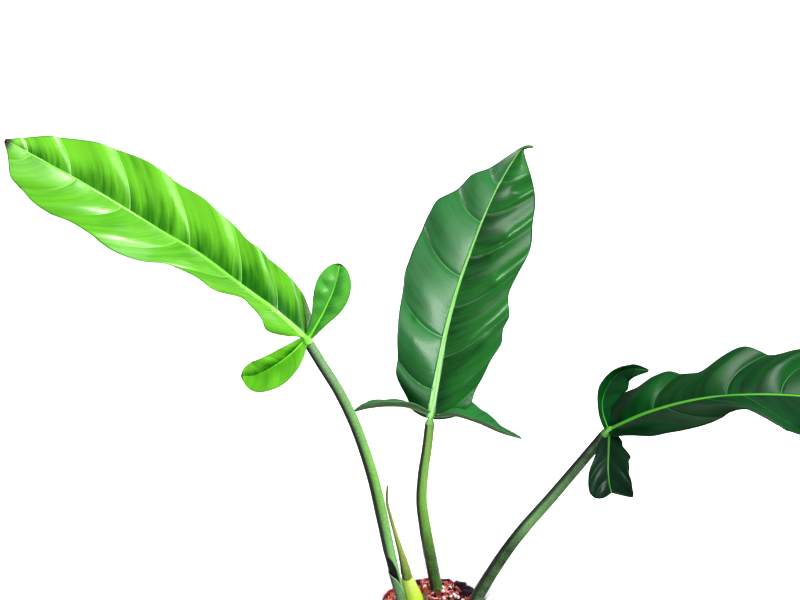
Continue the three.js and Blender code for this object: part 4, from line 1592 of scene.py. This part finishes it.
@dataclass(frozen=True)
class Mix:
    """The bark mix: a mound of crumbs, with chips, fibres and white grains in its top."""

    pot: PotShape
    edge: float = 66.0
    mound: tuple[float, ...] = (5.5, 10.0, 8.0, 32.0)
    ripple: float = 1.1
    clearance: float = 0.6
    rings: int = 60
    segments: int = 180
    crumb: float = 1.6
    calm_rings: int = 6
    seed: int = 11
    top_steps: int = 40
    top_margin: float = 5.0

    def height(self, x: Array | float, y: Array | float) -> Array:
        """Gives how high the mix stands, without its crumbs.

        Args:
            x: Places to the right, in millimetres.
            y: Places away from the viewer.

        Returns:
            The heights there.
        """
        rise, middle_x, middle_y, spread = self.mound
        ripple = np.sin(0.55 * x) * np.cos(0.6 * y) + 0.6 * np.sin(0.21 * x - 0.33 * y)
        return self.edge + rise * np.exp(-((np.hypot(x - middle_x, y - middle_y) / spread) ** 2)) + self.ripple * ripple

    def build(self, bed: Material, parts: Sequence[Scatter]) -> None:
        """Builds the bed and what is scattered over it, and lets it all ride.

        Args:
            bed: The finish of the bed.
            parts: What is scattered.
        """
        settle(self._bed(bed), ["soil"])
        trees = {kind: CrumbTree(kind).build() for kind in Crumb}
        for part in parts:
            settle(self._scatter(part, trees[part.kind]))

    def _bed(self, material: Material) -> Object:
        """Makes the bed, a closed turned body with a crumbly top.

        Args:
            material: The bed's finish.

        Returns:
            The piece, not yet riding.
        """
        draws = np.random.default_rng(self.seed)
        foot = self.pot.foot_height + self.pot.foot_inset + self.clearance / 2
        top_radius, foot_radius = (self.pot.inner_radius(height) - self.clearance for height in (self.edge, foot))
        turns = np.linspace(0, math.tau, self.segments, endpoint=False)
        rows = []
        for number in range(1, self.rings + 1):
            row = ring(top_radius * number / self.rings, turns, 0.0)
            row[:, 2] = self.height(row[:, 0], row[:, 1])
            if number < self.rings:
                crumbs = draws.uniform(-0.5, 0.5, len(turns)) * self.crumb
                row[:, 2] += crumbs * min(1.0, number / self.calm_rings)
            rows.append(row)
        rows.append(ring(foot_radius, turns, foot))
        points = np.vstack([*rows, [[0, 0, float(self.height(0.0, 0.0))], [0, 0, foot]]])
        mesh = make_mesh("soil_bed", points, turned_faces(len(rows), self.segments, downwards=True))
        return finish_mesh(mesh, "soil_bed", material)

    def _top(self) -> Object:
        """Makes the open surface that the trees scatter over.

        Returns:
            The object, which the tree's run removes.
        """
        reach = self.pot.inner_radius(self.edge) - self.top_margin
        line = np.linspace(-reach, reach, self.top_steps)
        x, y = np.meshgrid(line, line)
        points = np.stack([x, y, self.height(x, y)], axis=-1).reshape(-1, 3)
        faces = grid_faces(self.top_steps, self.top_steps)
        centres = points[faces].mean(axis=1)
        kept = faces[np.hypot(centres[:, 0], centres[:, 1]) < reach]
        return stand("mix_top", make_mesh("mix_top", points, kept.tolist()))

    def _scatter(self, part: Scatter, tree: NodeTree) -> Object:
        """Scatters one kind of crumb, with some at its chosen spots.

        Args:
            part: What is scattered.
            tree: The tree that scatters its form.

        Returns:
            The piece, not yet riding.
        """
        spots = stand("spots", make_mesh("spots", [(x, y, float(self.height(x, y))) for x, y in part.spots]))
        material = part.finish.build()
        mesh = run_tree(self._top(), tree, {**part.values(), "Spots": spots, "Finish": material})
        bpy.data.objects.remove(spots)
        return finish_mesh(mesh, part.name, material, sharp=50)


@dataclass(frozen=True)
class OldSheath:
    """A strip of dry sheath that curls round the new leaf's foot, with a torn top edge."""

    middle: Pair = (-15.0, -4.0)
    radius: float = 9.4
    flare: float = 0.6
    bottom: float = 62.0
    heights: tuple[float, ...] = (74, 80, 77, 85, 82, 88, 83, 89, 81, 84, 76, 73)
    arc: Pair = (-58.0, 62.0)
    thickness: float = 0.7
    columns: int = 120
    rows: int = 16
    tears: float = 1.4
    buckle: float = 0.35
    buckles: float = 31.0
    grain: Pair = (25.0, 15.0)
    seed: int = 4

    def build(self, material: Material) -> None:
        """Builds the strip and lets it ride.

        Args:
            material: The strip's finish.
        """
        draws = np.random.default_rng(self.seed)
        share, up = np.linspace(0, 1, self.columns)[None, :], np.linspace(0, 1, self.rows)[:, None]
        torn = np.interp(share, np.linspace(0, 1, len(self.heights)), self.heights)
        height = self.bottom + (torn - self.tears * draws.random(self.columns) - self.bottom) * up
        turn = np.radians(self.arc[0] + (self.arc[1] - self.arc[0]) * share)
        inner = self.radius + self.flare * up**1.5 + self.buckle * np.sin(share * self.buckles) * up
        faces = [
            np.stack([self.middle[0] + radius * np.cos(turn), self.middle[1] + radius * np.sin(turn), height], axis=-1)
            for radius in (inner + self.thickness, inner)
        ]
        shell = Shell()
        grain = np.stack(np.broadcast_arrays(share * self.grain[0], up * self.grain[1]), axis=-1)
        shell.close(*faces, grain, {"along": np.broadcast_to(up, height.shape)})
        settle(shell.make("old_sheath_strip", material), ["old_sheath"])


def light_only(light: Object, pieces: Sequence[str]) -> None:
    """Lets a light reach only some pieces.

    Args:
        light: The light.
        pieces: The pieces' names.
    """
    group = bpy.data.collections.new(f"{light.name}_lit")
    for piece in pieces:
        group.objects.link(bpy.data.objects[piece])
    light.light_linking.receiver_collection = group


@dataclass(frozen=True)
class Lamp:
    """One far, soft light. It is either mirrored in what it lights or lights it evenly, and lit names those pieces.

    The azimuth turns to the right from the viewer's side, and the spread is the light's width and height in degrees.
    """

    name: str
    azimuth: float
    elevation: float
    spread: Pair
    power: float
    mirrored: bool = True
    lit: tuple[str, ...] = ()
    colour: Point = (1.0, 1.0, 1.0)

    distance = 8.0

    def build(self, target: Point) -> None:
        """Builds the light.

        Args:
            target: The place in metres that it looks at.
        """
        data = bpy.data.lights.new(self.name, "AREA")
        data.shape, data.energy, data.color = "RECTANGLE", self.power * self.distance**2, self.colour
        data.size, data.size_y = (2 * self.distance * math.tan(math.radians(angle / 2)) for angle in self.spread)
        light = stand(self.name, data)
        turn, tilt = math.radians(self.azimuth), math.radians(self.elevation)
        back = (math.sin(turn) * math.cos(tilt), -math.cos(turn) * math.cos(tilt), math.sin(tilt))
        light.location = [target[i] + self.distance * back[i] for i in range(3)]
        light.rotation_euler = Euler((math.pi / 2 - tilt, 0.0, turn))
        light.visible_glossy, light.visible_diffuse, light.visible_camera = self.mirrored, not self.mirrored, False
        if self.lit:
            light_only(light, self.lit)


@dataclass(frozen=True)
class Studio:
    """The camera at the photograph's place, a pale floor and soft lights."""

    lamps: tuple[Lamp, ...]
    eye: Point = (-28.0, -815.0, 601.5)
    pitch: float = 17.6
    focal_pixels: float = 1100.0
    photo_width: float = 800.0
    sensor: float = 36.0
    floor_reach: float = 80000.0
    floor_wash: float = 3.0
    wash_spread: float = 40.0
    wash_tilt: float = 38.0
    ambient: float = 0.3
    backdrop: float = 1.0
    target: Point = (0.03, -0.05, 0.3)

    def build(self) -> None:
        """Builds the camera, the floor, the lights and the world."""
        self._camera()
        self._floor()
        for lamp in self.lamps:
            lamp.build(self.target)
        world = bpy.data.worlds.new("soft_room")
        world.use_nodes = True
        nodes = Nodes(world.node_tree)
        seen = nodes.add("ShaderNodeLightPath").outputs["Is Camera Ray"]
        strength = nodes.plus(seen, self.backdrop - self.ambient, self.ambient)
        light = nodes.one("ShaderNodeBackground", {0: (0.98, 0.99, 1.0, 1.0), 1: strength})
        nodes.add("ShaderNodeOutputWorld", {0: light})
        scene = bpy.context.scene
        scene.world = world
        scene.view_settings.view_transform, scene.view_settings.look = "Standard", "Medium High Contrast"

    def _camera(self) -> None:
        """Places the camera where the photograph was taken from."""
        data = bpy.data.cameras.new("camera")
        data.sensor_width = self.sensor
        data.lens = self.focal_pixels / self.photo_width * self.sensor
        camera = stand("camera", data)
        camera.location = [value * MM for value in self.eye]
        camera.rotation_euler = Euler((math.radians(90 - self.pitch), 0.0, 0.0))
        bpy.context.scene.camera = camera

    def _floor(self) -> None:
        """Makes the pale floor, and the light that washes it and the pot."""
        reach = self.floor_reach
        nodes = Paint("floor_paper")
        colour = nodes.layers((250, 250, 251), (nodes.noise(nodes.place(), 1.2), (246, 246, 248)))
        material = nodes.shade(colour, 0.9, Specular_IOR_Level=0.1)
        corners = [(-reach, -reach, 0), (reach, -reach, 0), (reach, reach, 0), (-reach, reach, 0)]
        floor = finish_mesh(make_mesh("floor", corners, [(0, 1, 2, 3)]), "floor", material)
        floor.visible_glossy = floor.visible_diffuse = False
        lamp = bpy.data.lights.new("floor_wash", "SUN")
        lamp.energy, lamp.angle = self.floor_wash, math.radians(self.wash_spread)
        wash = stand("floor_wash", lamp)
        wash.rotation_euler = Euler((math.radians(self.wash_tilt), 0.0, 0.0))
        light_only(wash, ("floor", "pot_shell"))


LEFT_BLADE, CENTRE_BLADE, RIGHT_BLADE = (
    (f"blade_{side}_lamina", f"blade_{side}_knob") for side in ("left", "centre", "right")
)
STEMS = (
    "petiole_left_stem", "petiole_left_lip", "petiole_centre_stem", "petiole_right_stem", "new_leaf_roll",
    "new_leaf_hood", "pot_shell",
)
LAMPS = (
    Lamp("key", 72, 40, (28, 28), 17.0, mirrored=False, colour=(1.0, 0.985, 0.96)),
    Lamp("fill", 0, 40, (40, 40), 6.8, mirrored=False),
    Lamp("general", 60, 25, (30, 30), 3.0, lit=STEMS),
    Lamp("pot_side", -70, 20, (40, 40), 9.0, mirrored=False, lit=("pot_shell",)),
    Lamp("left_high", 87, 37, (15, 15), 9.5, lit=LEFT_BLADE),
    Lamp("left_wide", 76, 14, (32, 16), 4.6, lit=LEFT_BLADE),
    Lamp("left_rear", 151, 42, (16, 10), 0.9, lit=LEFT_BLADE),
    Lamp("centre_low", 37, -4, (8, 10), 4.0, lit=CENTRE_BLADE),
    Lamp("centre_soft", 33, 6, (26, 18), 0.9, lit=CENTRE_BLADE),
    Lamp("centre_front", -11, 2, (12, 22), 5.6, lit=CENTRE_BLADE),
    Lamp("centre_side", -73, 42, (20, 9), 2.0, lit=CENTRE_BLADE),
    Lamp("right_top", 92, 81, (12, 9), 1.2, lit=RIGHT_BLADE),
    Lamp("right_back", 152, 77, (12, 8), 0.6, lit=RIGHT_BLADE),
    Lamp("right_fold", 110, -22, (24, 20), 1.2, lit=RIGHT_BLADE),
    Lamp("right_front", 14, 33, (14, 12), 1.8, lit=RIGHT_BLADE),
)

PETIOLE_LEFT = Stem(
    "petiole_left_stem",
    (
        (-23, -14, 48), (-25, -13, 74), (-30.5, -10, 99), (-36.6, -9.5, 126), (-43.6, -13, 166), (-51, -17, 204),
        (-62, -21, 243), (-74, -25, 274), (-87, -28, 299), (-97, -30, 318),
    ),
    (3.4, 3.6, 4.8, 5.0, 4.7, 4.4, 4.2, 4.0),
    steps=300,
    sides=56,
    sheathing=Sheathing(),
)
PETIOLE_CENTRE = Stem(
    "petiole_centre_stem",
    (
        (9, 24, 46), (4, 21, 73), (-2, 17, 107), (-7, 13, 138), (-10, 9, 165), (-9, 6, 190), (-6, 3, 216), (-4, 0, 239),
    ),
    (5.2, 5.2, 5.3, 5.3, 5.0, 4.6, 4.4, 4.1, 3.9),
    seed=2,
)
PETIOLE_RIGHT = Stem(
    "petiole_right_stem",
    (
        (20, -16, 47), (34, -26, 91), (44, -30, 115), (58, -35, 144), (72, -39, 168), (88, -43, 192), (107, -47, 221),
        (127, -50, 251),
    ),
    (5.6, 5.4, 5.1, 4.8, 4.5, 4.2, 4.0),
    seed=3,
)
NEW_LEAF = Stem(
    "new_leaf_roll",
    (
        (-18, -6, 92), (-22, -7, 102), (-25, -8, 117), (-30, -9, 137), (-35.5, -8, 158), (-38.5, -7.5, 172),
        (-38.2, -7.5, 187),
    ),
    (4.0, 4.2, 4.6, 3.7, 3.1, 2.5, 2.1, 1.85, 1.65, 1.45, 1.3, 1.15, 0.8),
    flutes=2,
    flute_depth=0.06,
    seed=4,
)
NEW_LEAF_SHEATH = Stem(
    "new_leaf_hood",
    ((-13, -3, 50), (-14.5, -3.5, 70), (-16.2, -4, 80), (-19.3, -5.5, 91), (-22, -7, 101.5)),
    (6.5, 8, 7.9, 6.4, 5.0),
    steps=80,
    sides=48,
    flutes=9,
    flute_depth=0.015,
    seed=5,
)

LEFT_LOBES = (
    MainLobe(
        (
            (-99, -30, 322, 14, 10, 17, 5), (-123, -36, 347, 20, 34, 28, 12), (-148, -43, 370, 27, 44, 31, 18),
            (-172, -50, 393, 35, 36, 35, 20), (-197, -57, 412, 40, 24, 36, 20), (-221, -64, 431, 38, 20, 35, 20),
            (-244, -72, 449, 34, 6, 28, 18), (-267, -81, 466, 25, -4, 17, 12), (-289, -90, 482, 1, 0, 1, 0),
        ),
        (0.58, -0.69, 0.43),
        Half(
            (0.12, 0.28, 0.45, 0.63, 0.78, 0.92),
            (
                (0.0, -13, 0.045), (0.1, 7, 0.035), (0.2, -7.5, 0.04), (0.285, 10.5, 0.045), (0.42, -6, 0.05),
                (0.56, 2.5, 0.05), (0.71, -3, 0.05), (0.86, -1.5, 0.03), (0.92, 2.5, 0.03),
            ),
            bend=(0.25, 0.75), quilt=2.0, lean=0.25,
        ),
        Half(
            (0.11, 0.235, 0.41, 0.605, 0.795, 0.93),
            ((0.05, 4, 0.035), (0.26, -1.5, 0.03), (0.36, -2.5, 0.035)),
            quilt=2.4, lean=0.38,
        ),
        rib_half=(2.3, 0.5),
    ),
    Lobe(
        (
            (-98, -30, 321, 3, 0, 2, 0), (-90, -28, 334, 6, 12, 6, 10), (-83, -24, 347, 12, 16, 12, 12),
            (-77, -19, 361, 16, 16, 14, 12), (-73.5, -13.5, 376, 17, 6, 13, 6),
        ),
        (0.1, -0.92, 0.38),
        puckers=(
            (0.42, -6.5, 1.5, 4.5), (0.6, -8.0, 1.5, 4.5), (0.78, -7.0, 1.3, 4.0), (0.5, 6.0, 1.0, 5.0),
            (0.72, 6.5, 1.0, 4.5),
        ),
        round_end=0.45,
        tone=0.45,
    ),
    Lobe(
        (
            (-101, -31, 320, 4, 20, 4, 30), (-112, -38, 311, 13, 30, 10, 40), (-125, -46, 304, 18.5, 34, 12, 40),
            (-136, -52, 300.5, 17.5, 34, 12, 34), (-145.5, -56, 301.5, 13, 20, 12, 20),
        ),
        (0.35, -0.78, 0.5),
        puckers=((0.3, -8.0, 1.2, 5.0), (0.6, -8.0, 1.4, 5.0), (0.5, 6.0, 1.2, 5.0)),
        round_end=0.3,
    ),
)
CENTRE_LOBES = (
    MainLobe(
        (
            (-4, 0, 243, 16, 10, 20, 10), (1, 6, 271, 32, 16, 36, 14), (6, 12, 299, 40, 20, 43, 18),
            (12, 19, 325, 43, 20, 45, 18), (20, 26, 351, 45, 18, 43, 20), (30, 33, 378, 42, 16, 42, 22),
            (40, 39, 403, 30, 14, 37, 22), (52, 44, 428, 13, 10, 26, 20), (66, 46, 451, 2, 0, 4, 0),
            (71, 43, 455, 1.2, 0, 1.2, 0), (76, 39, 456, 0.8, 0, 0.8, 0),
        ),
        (-0.08, -0.96, 0.24),
        Half(
            (0.08, 0.23, 0.41, 0.57, 0.685),
            (
                (0.66, 2.5, 0.03), (0.6, -1.5, 0.03), (0.54, 2, 0.03), (0.44, -1, 0.035), (0.33, 1.5, 0.03),
                (0.07, 5, 0.035),
            ),
            bend=(0.05, 0.2), quilt=1.6, lean=-0.1,
        ),
        Half(
            (0.171, 0.319, 0.465, 0.596, 0.695),
            (
                (0.03, 5, 0.03), (0.2, 4, 0.035), (0.28, 3, 0.03), (0.36, -2, 0.035), (0.5, 4, 0.07),
                (0.64, 1.5, 0.05),
            ),
            bend=(0.34, 0.3), quilt=2.6, lean=0.38,
        ),
        puckers=(
            (0.492, 16.5, 1.0, 4.5), (0.515, 20.5, 1.2, 4.5), (0.542, 25.0, 1.1, 4.5), (0.684, 15.0, 0.8, 4.0),
            (0.41, 28.5, 0.9, 4.5), (0.22, 33.0, 0.7, 5.0),
        ),
        rib_half=(3.2, 0.3),
    ),
    Lobe(
        (
            (-6, -1, 248, 5, 20, 8, 20), (-22, -6, 256, 10, 16, 12, 18), (-37, -11, 259, 14, 16, 14, 16),
            (-52, -15, 259, 13, 16, 13, 16), (-64, -18, 257, 9, 10, 9, 10),
        ),
        (0.05, 0.35, 0.93),
        round_end=0.35,
    ),
    Lobe(
        (
            (1, -1, 246, 14, 40, 4, 20), (16, -7, 249, 17, 40, 10, 30), (34, -12, 245, 13, 26, 13, 33),
            (51, -17, 239, 9, 8, 12, 33), (68, -20, 234.5, 6.5, 2, 8, 20),
        ),
        (0.05, 0.0, 1.0),
        round_end=0.35,
    ),
)
RIGHT_LOBES = (
    MainLobe(
        (
            (130, -50, 255, 27, 12, 12, 12), (162, -55, 273, 38, 8, 36, 6), (196, -63, 286, 43, 8, 44, 15),
            (231, -72, 293, 46, 10, 46, 17), (265, -81, 295, 46, 10, 46, 9), (299, -90, 290, 38, 10, 40, 12),
            (331, -98, 278, 22, 8, 24, 10), (358, -105, 261, 1, 0, 1, 0),
        ),
        (-0.29, -0.19, 0.93),
        Half(
            (0.142, 0.35, 0.5, 0.64, 0.77, 0.89),
            (
                (0.09, -4, 0.03), (0.14, -3, 0.03), (0.2, -6, 0.035), (0.255, -12, 0.04), (0.35, 4.5, 0.035),
                (0.44, -4, 0.04), (0.6, -2, 0.035),
            ),
            bend=(0.03, 0.4), quilt=2.8, lean=-0.38,
        ),
        Half(
            (0.18, 0.3, 0.395, 0.56, 0.7, 0.83, 0.93),
            (
                (0.08, 5, 0.04), (0.23, 1.5, 0.05), (0.3, -3.5, 0.03), (0.4, 9, 0.055), (0.5, 2, 0.05),
                (0.6, 5, 0.035), (0.68, 4, 0.035),
            ),
            ((0.34, 8, 0.05), (0.48, -11, 0.06)),
            quilt=1.6,
        ),
        rib_half=(2.4, 0.7),
    ),
    Lobe(
        (
            (129, -49, 257, 5, 10, 6, 10), (125, -45, 270, 6, 0, 8, 30), (127, -40, 282, 10, -4, 13, 42),
            (135, -36, 294, 10, 0, 15, 42), (146, -36, 300, 5, 10, 9, 25), (160, -38, 299, 1, 0, 1, 0),
        ),
        (0.75, -0.6, -0.1),
        rib_half=(0.7, 0.25),
    ),
    Lobe(
        (
            (130.5, -51, 254, 7, 14, 5, 10), (129, -60, 242, 11.5, 10, 10.5, 10), (128, -67, 232, 16.5, 8, 15, 8),
            (128.5, -72, 222, 16.5, 2, 14.5, 8), (130, -75, 215.5, 15.5, -14, 5, 6),
        ),
        (-0.1, -0.75, 0.65),
        Half(waves=((0.03, 2.5, 0.04), (0.15, 6, 0.06), (0.27, 3.5, 0.1))),
        round_end=0.03,
        sweep=0.5,
        # Painted shadow: the tone darkens this lower lobe where the blade above shades it.
        tone=0.6,
    ),
)

LIME_LEAF = LeafFinish(
    "lime_leaf",
    left=HalfTone((46, 116, 14), (94, 160, 40), streak=0.5, by_rib=0.05, painted_base_shade=-0.1, painted_vein_light_and_shade=0.06),
    right=HalfTone((12, 84, 2), (98, 168, 40), streak=0.8, by_rib=0.55, painted_base_shade=0.3, painted_vein_light_and_shade=0.1, level=0.88),
    rib=(118, 204, 56), vein=(160, 222, 124), under=(118, 180, 78), under_rib=(168, 216, 112),
    edge=(50, 112, 36), tip=(14, 16, 10), base=(40, 124, 64), base_shade_reach=0.45, tip_reach=(0.965, 0.995),
    flecks_and_shade_spots=((138.0, 30.2, 1.4), (133.2, 25.9, 1.4)),
)
GREEN_LEAF = LeafFinish(
    "green_leaf",
    left=HalfTone((8, 60, 20), (42, 106, 54), streak=0.45, by_rib=-0.2, painted_base_shade=0.6, painted_vein_light_and_shade=-0.1),
    right=HalfTone((6, 60, 22), (44, 122, 50), streak=0.6, by_rib=0.35, painted_base_shade=0.3, painted_vein_light_and_shade=0.14, level=0.72),
    rib=(136, 200, 108), vein=(112, 176, 112), under=(96, 134, 98), under_rib=(140, 184, 110),
    # Its one dark green fleck is painted shade on the left half.
    edge=(20, 60, 40), tip=(150, 190, 70), base=(18, 78, 38), flecks_and_shade_spots=((53.5, -29.0, 5.0),), fleck_and_shade_colour=(10, 84, 16),
)
DARK_LEAF = LeafFinish(
    "dark_leaf",
    left=HalfTone((2, 30, 14), (8, 80, 26), streak=0.6, by_rib=0.1),
    right=HalfTone((2, 30, 16), (8, 72, 28), streak=0.5, by_rib=0.1),
    rib=(84, 160, 52), vein=(104, 156, 112), under=(76, 112, 86), under_rib=(114, 156, 88),
    # The base colour is painted shadow, for the lower lobe that the blade shades.
    edge=(10, 26, 28), tip=(40, 70, 40), base=(4, 38, 26), roughness=0.3,
)
SAGE_STEM = StemFinish(
    "sage_petiole", (138, 200, 138), (108, 162, 74), (96, 126, 94), (30, 16, 38), purple_shade_reach=(0.0, 0.38)
)
SHEATH_LIP = StemFinish(
    "sheath_lip", (78, 122, 68), (84, 130, 74), (90, 138, 82), (40, 24, 48), purple_shade_strength=0.8
)
GREEN_STEM = StemFinish(
    "green_petiole", (24, 76, 16), (112, 168, 62), (162, 212, 104), (24, 14, 34), foot_reach=(0.3, 0.54)
)
# The right petiole's pale sage middle is painted highlight on its dark green.
DARK_STEM = StemFinish(
    "dark_petiole", (10, 52, 8), (140, 192, 124), (30, 26, 40), (20, 12, 30), purple_shade_reach=(0.4, 0.75),
    foot_reach=(0.46, 0.62),
)
ROLL_STEM = StemFinish("new_leaf_skin", (78, 118, 14), (140, 158, 66), (120, 112, 62), (44, 16, 34))
HOOD_STEM = StemFinish(
    "new_leaf_hood", (160, 222, 20), (184, 226, 50), (200, 216, 110), (120, 150, 30), purple_shade_strength=0.3
)
LIME_RIB, GREEN_RIB, DARK_RIB = (
    StemFinish(name, *greens, purple_shade_strength=0.2)
    for name, *greens in (
        ("lime_rib", (110, 190, 46), (118, 200, 56), (118, 204, 58), (90, 150, 50)),
        ("green_rib", (132, 200, 92), (138, 204, 104), (142, 210, 112), (64, 104, 56)),
        ("dark_rib", (82, 150, 54), (82, 152, 52), (80, 150, 50), (44, 84, 44)),
    )
)
BED = CrumbFinish("mix_bed", (60, 10, 24), (196, 74, 76), (30, 6, 28), 1.6)
CHIP = CrumbFinish("bark_chip", (132, 32, 44), (240, 140, 120), (56, 12, 38), 1.4)
TAN = CrumbFinish("pale_chip", (206, 118, 66), (244, 196, 158), (176, 84, 58), 1.6)
# Near-black, for the dark lumps that also stand in for shade.
DARK = CrumbFinish("dark_bark", (22, 6, 28), (56, 22, 56), (14, 6, 18), 2.4, roughness=0.6)
GRAIN = CrumbFinish("perlite_grain", (226, 222, 222), (252, 252, 252), (206, 196, 196), 1.2, patch_share=0.75)
FIBRE = CrumbFinish("coir_fibre", (176, 60, 78), (255, 208, 190), (120, 24, 44), 2.2, relief=0.0001)
SCATTERS = (
    Scatter(
        "bark_chips", Crumb.CHIP, CHIP, 26000.0, 5, (0.003, 0.0015, 0.0008), (0.0085, 0.004, 0.002), lift=0.0004,
        lumps=0.0011, lump_size=0.002,
    ),
    Scatter(
        "pale_chips", Crumb.CHIP, TAN, 1100.0, 8, (0.006, 0.003, 0.001), (0.011, 0.005, 0.002), lift=0.0012,
        lumps=0.0011, lump_size=0.002, slot=None,
        spots=((-6.5, 26.0), (-12.4, 19.5), (-36.6, 12.0), (-1.0, 33.0)),
    ),
    # Near-black lumps in the mix; those at the listed spots at the back right stand in for the shade there.
    Scatter(
        "dark_bark", Crumb.GRAIN, DARK, 900.0, 13, (0.008, 0.007, 0.005), (0.014, 0.011, 0.009), lift=0.0015,
        lumps=0.005, lump_size=0.005,
        spots=(
            (25.0, 29.0), (29.0, 24.0), (29.0, 15.0), (35.5, 17.0), (38.5, 10.0), (32.0, 23.0), (39.5, 4.0),
            (-14.5, 34.0),
        ),
    ),
    Scatter(
        "perlite", Crumb.GRAIN, GRAIN, 1500.0, 21, (0.0029, 0.0027, 0.0024), (0.0043, 0.0039, 0.0035), lift=0.0016,
        lumps=0.0012, lump_size=0.0015, tilt=(math.pi, math.pi, math.pi), slot=None,
        spots=((9.5, 23.5), (15.6, 23.5), (18.5, 12.5), (9.6, 4.8), (15.7, 7.8), (21.7, 7.8), (25.9, 6.3)),
    ),
    Scatter(
        "coir_fibres", Crumb.FIBRE, FIBRE, 75000.0, 3, (0.004, 0.004, 0.004), (0.013, 0.013, 0.013), lift=0.0012,
        lumps=0.006, lump_size=0.006, tilt=(0.3, 0.45, math.pi), girth=0.0003,
    ),
)


def main() -> None:
    """Builds the plant, its pot and the studio."""
    logging.basicConfig(level=logging.INFO, format="%(message)s")
    Effects().build()
    stem_tree = StemTree().build()
    pot = PotShape()
    pot.build(PotFinish().build())
    Mix(pot).build(BED.build(), SCATTERS)
    OldSheath().build(PaperFinish().build())
    for stem, finish, node in (
        (PETIOLE_LEFT, SAGE_STEM, "petiole_left"),
        (PETIOLE_CENTRE, GREEN_STEM, "petiole_centre"),
        (PETIOLE_RIGHT, DARK_STEM, "petiole_right"),
        (NEW_LEAF, ROLL_STEM, "new_leaf"),
        (NEW_LEAF_SHEATH, HOOD_STEM, "new_leaf_sheath"),
    ):
        settle(stem.build(stem_tree, finish.build()), [node])
    settle(PETIOLE_LEFT.add_lip("petiole_left_lip", SHEATH_LIP.build()))
    for blade, leaf, rib in (
        (Blade("left", LEFT_LOBES, Knob(5, 3.6), PETIOLE_LEFT), LIME_LEAF, LIME_RIB),
        (Blade("centre", CENTRE_LOBES, Knob(4, 3.0), PETIOLE_CENTRE), GREEN_LEAF, GREEN_RIB),
        (Blade("right", RIGHT_LOBES, Knob(6, 3.6), PETIOLE_RIGHT), DARK_LEAF, DARK_RIB),
    ):
        blade.build(stem_tree, leaf.build(), rib.build())
    Studio(LAMPS).build()


if __name__ == "__main__":
    main()
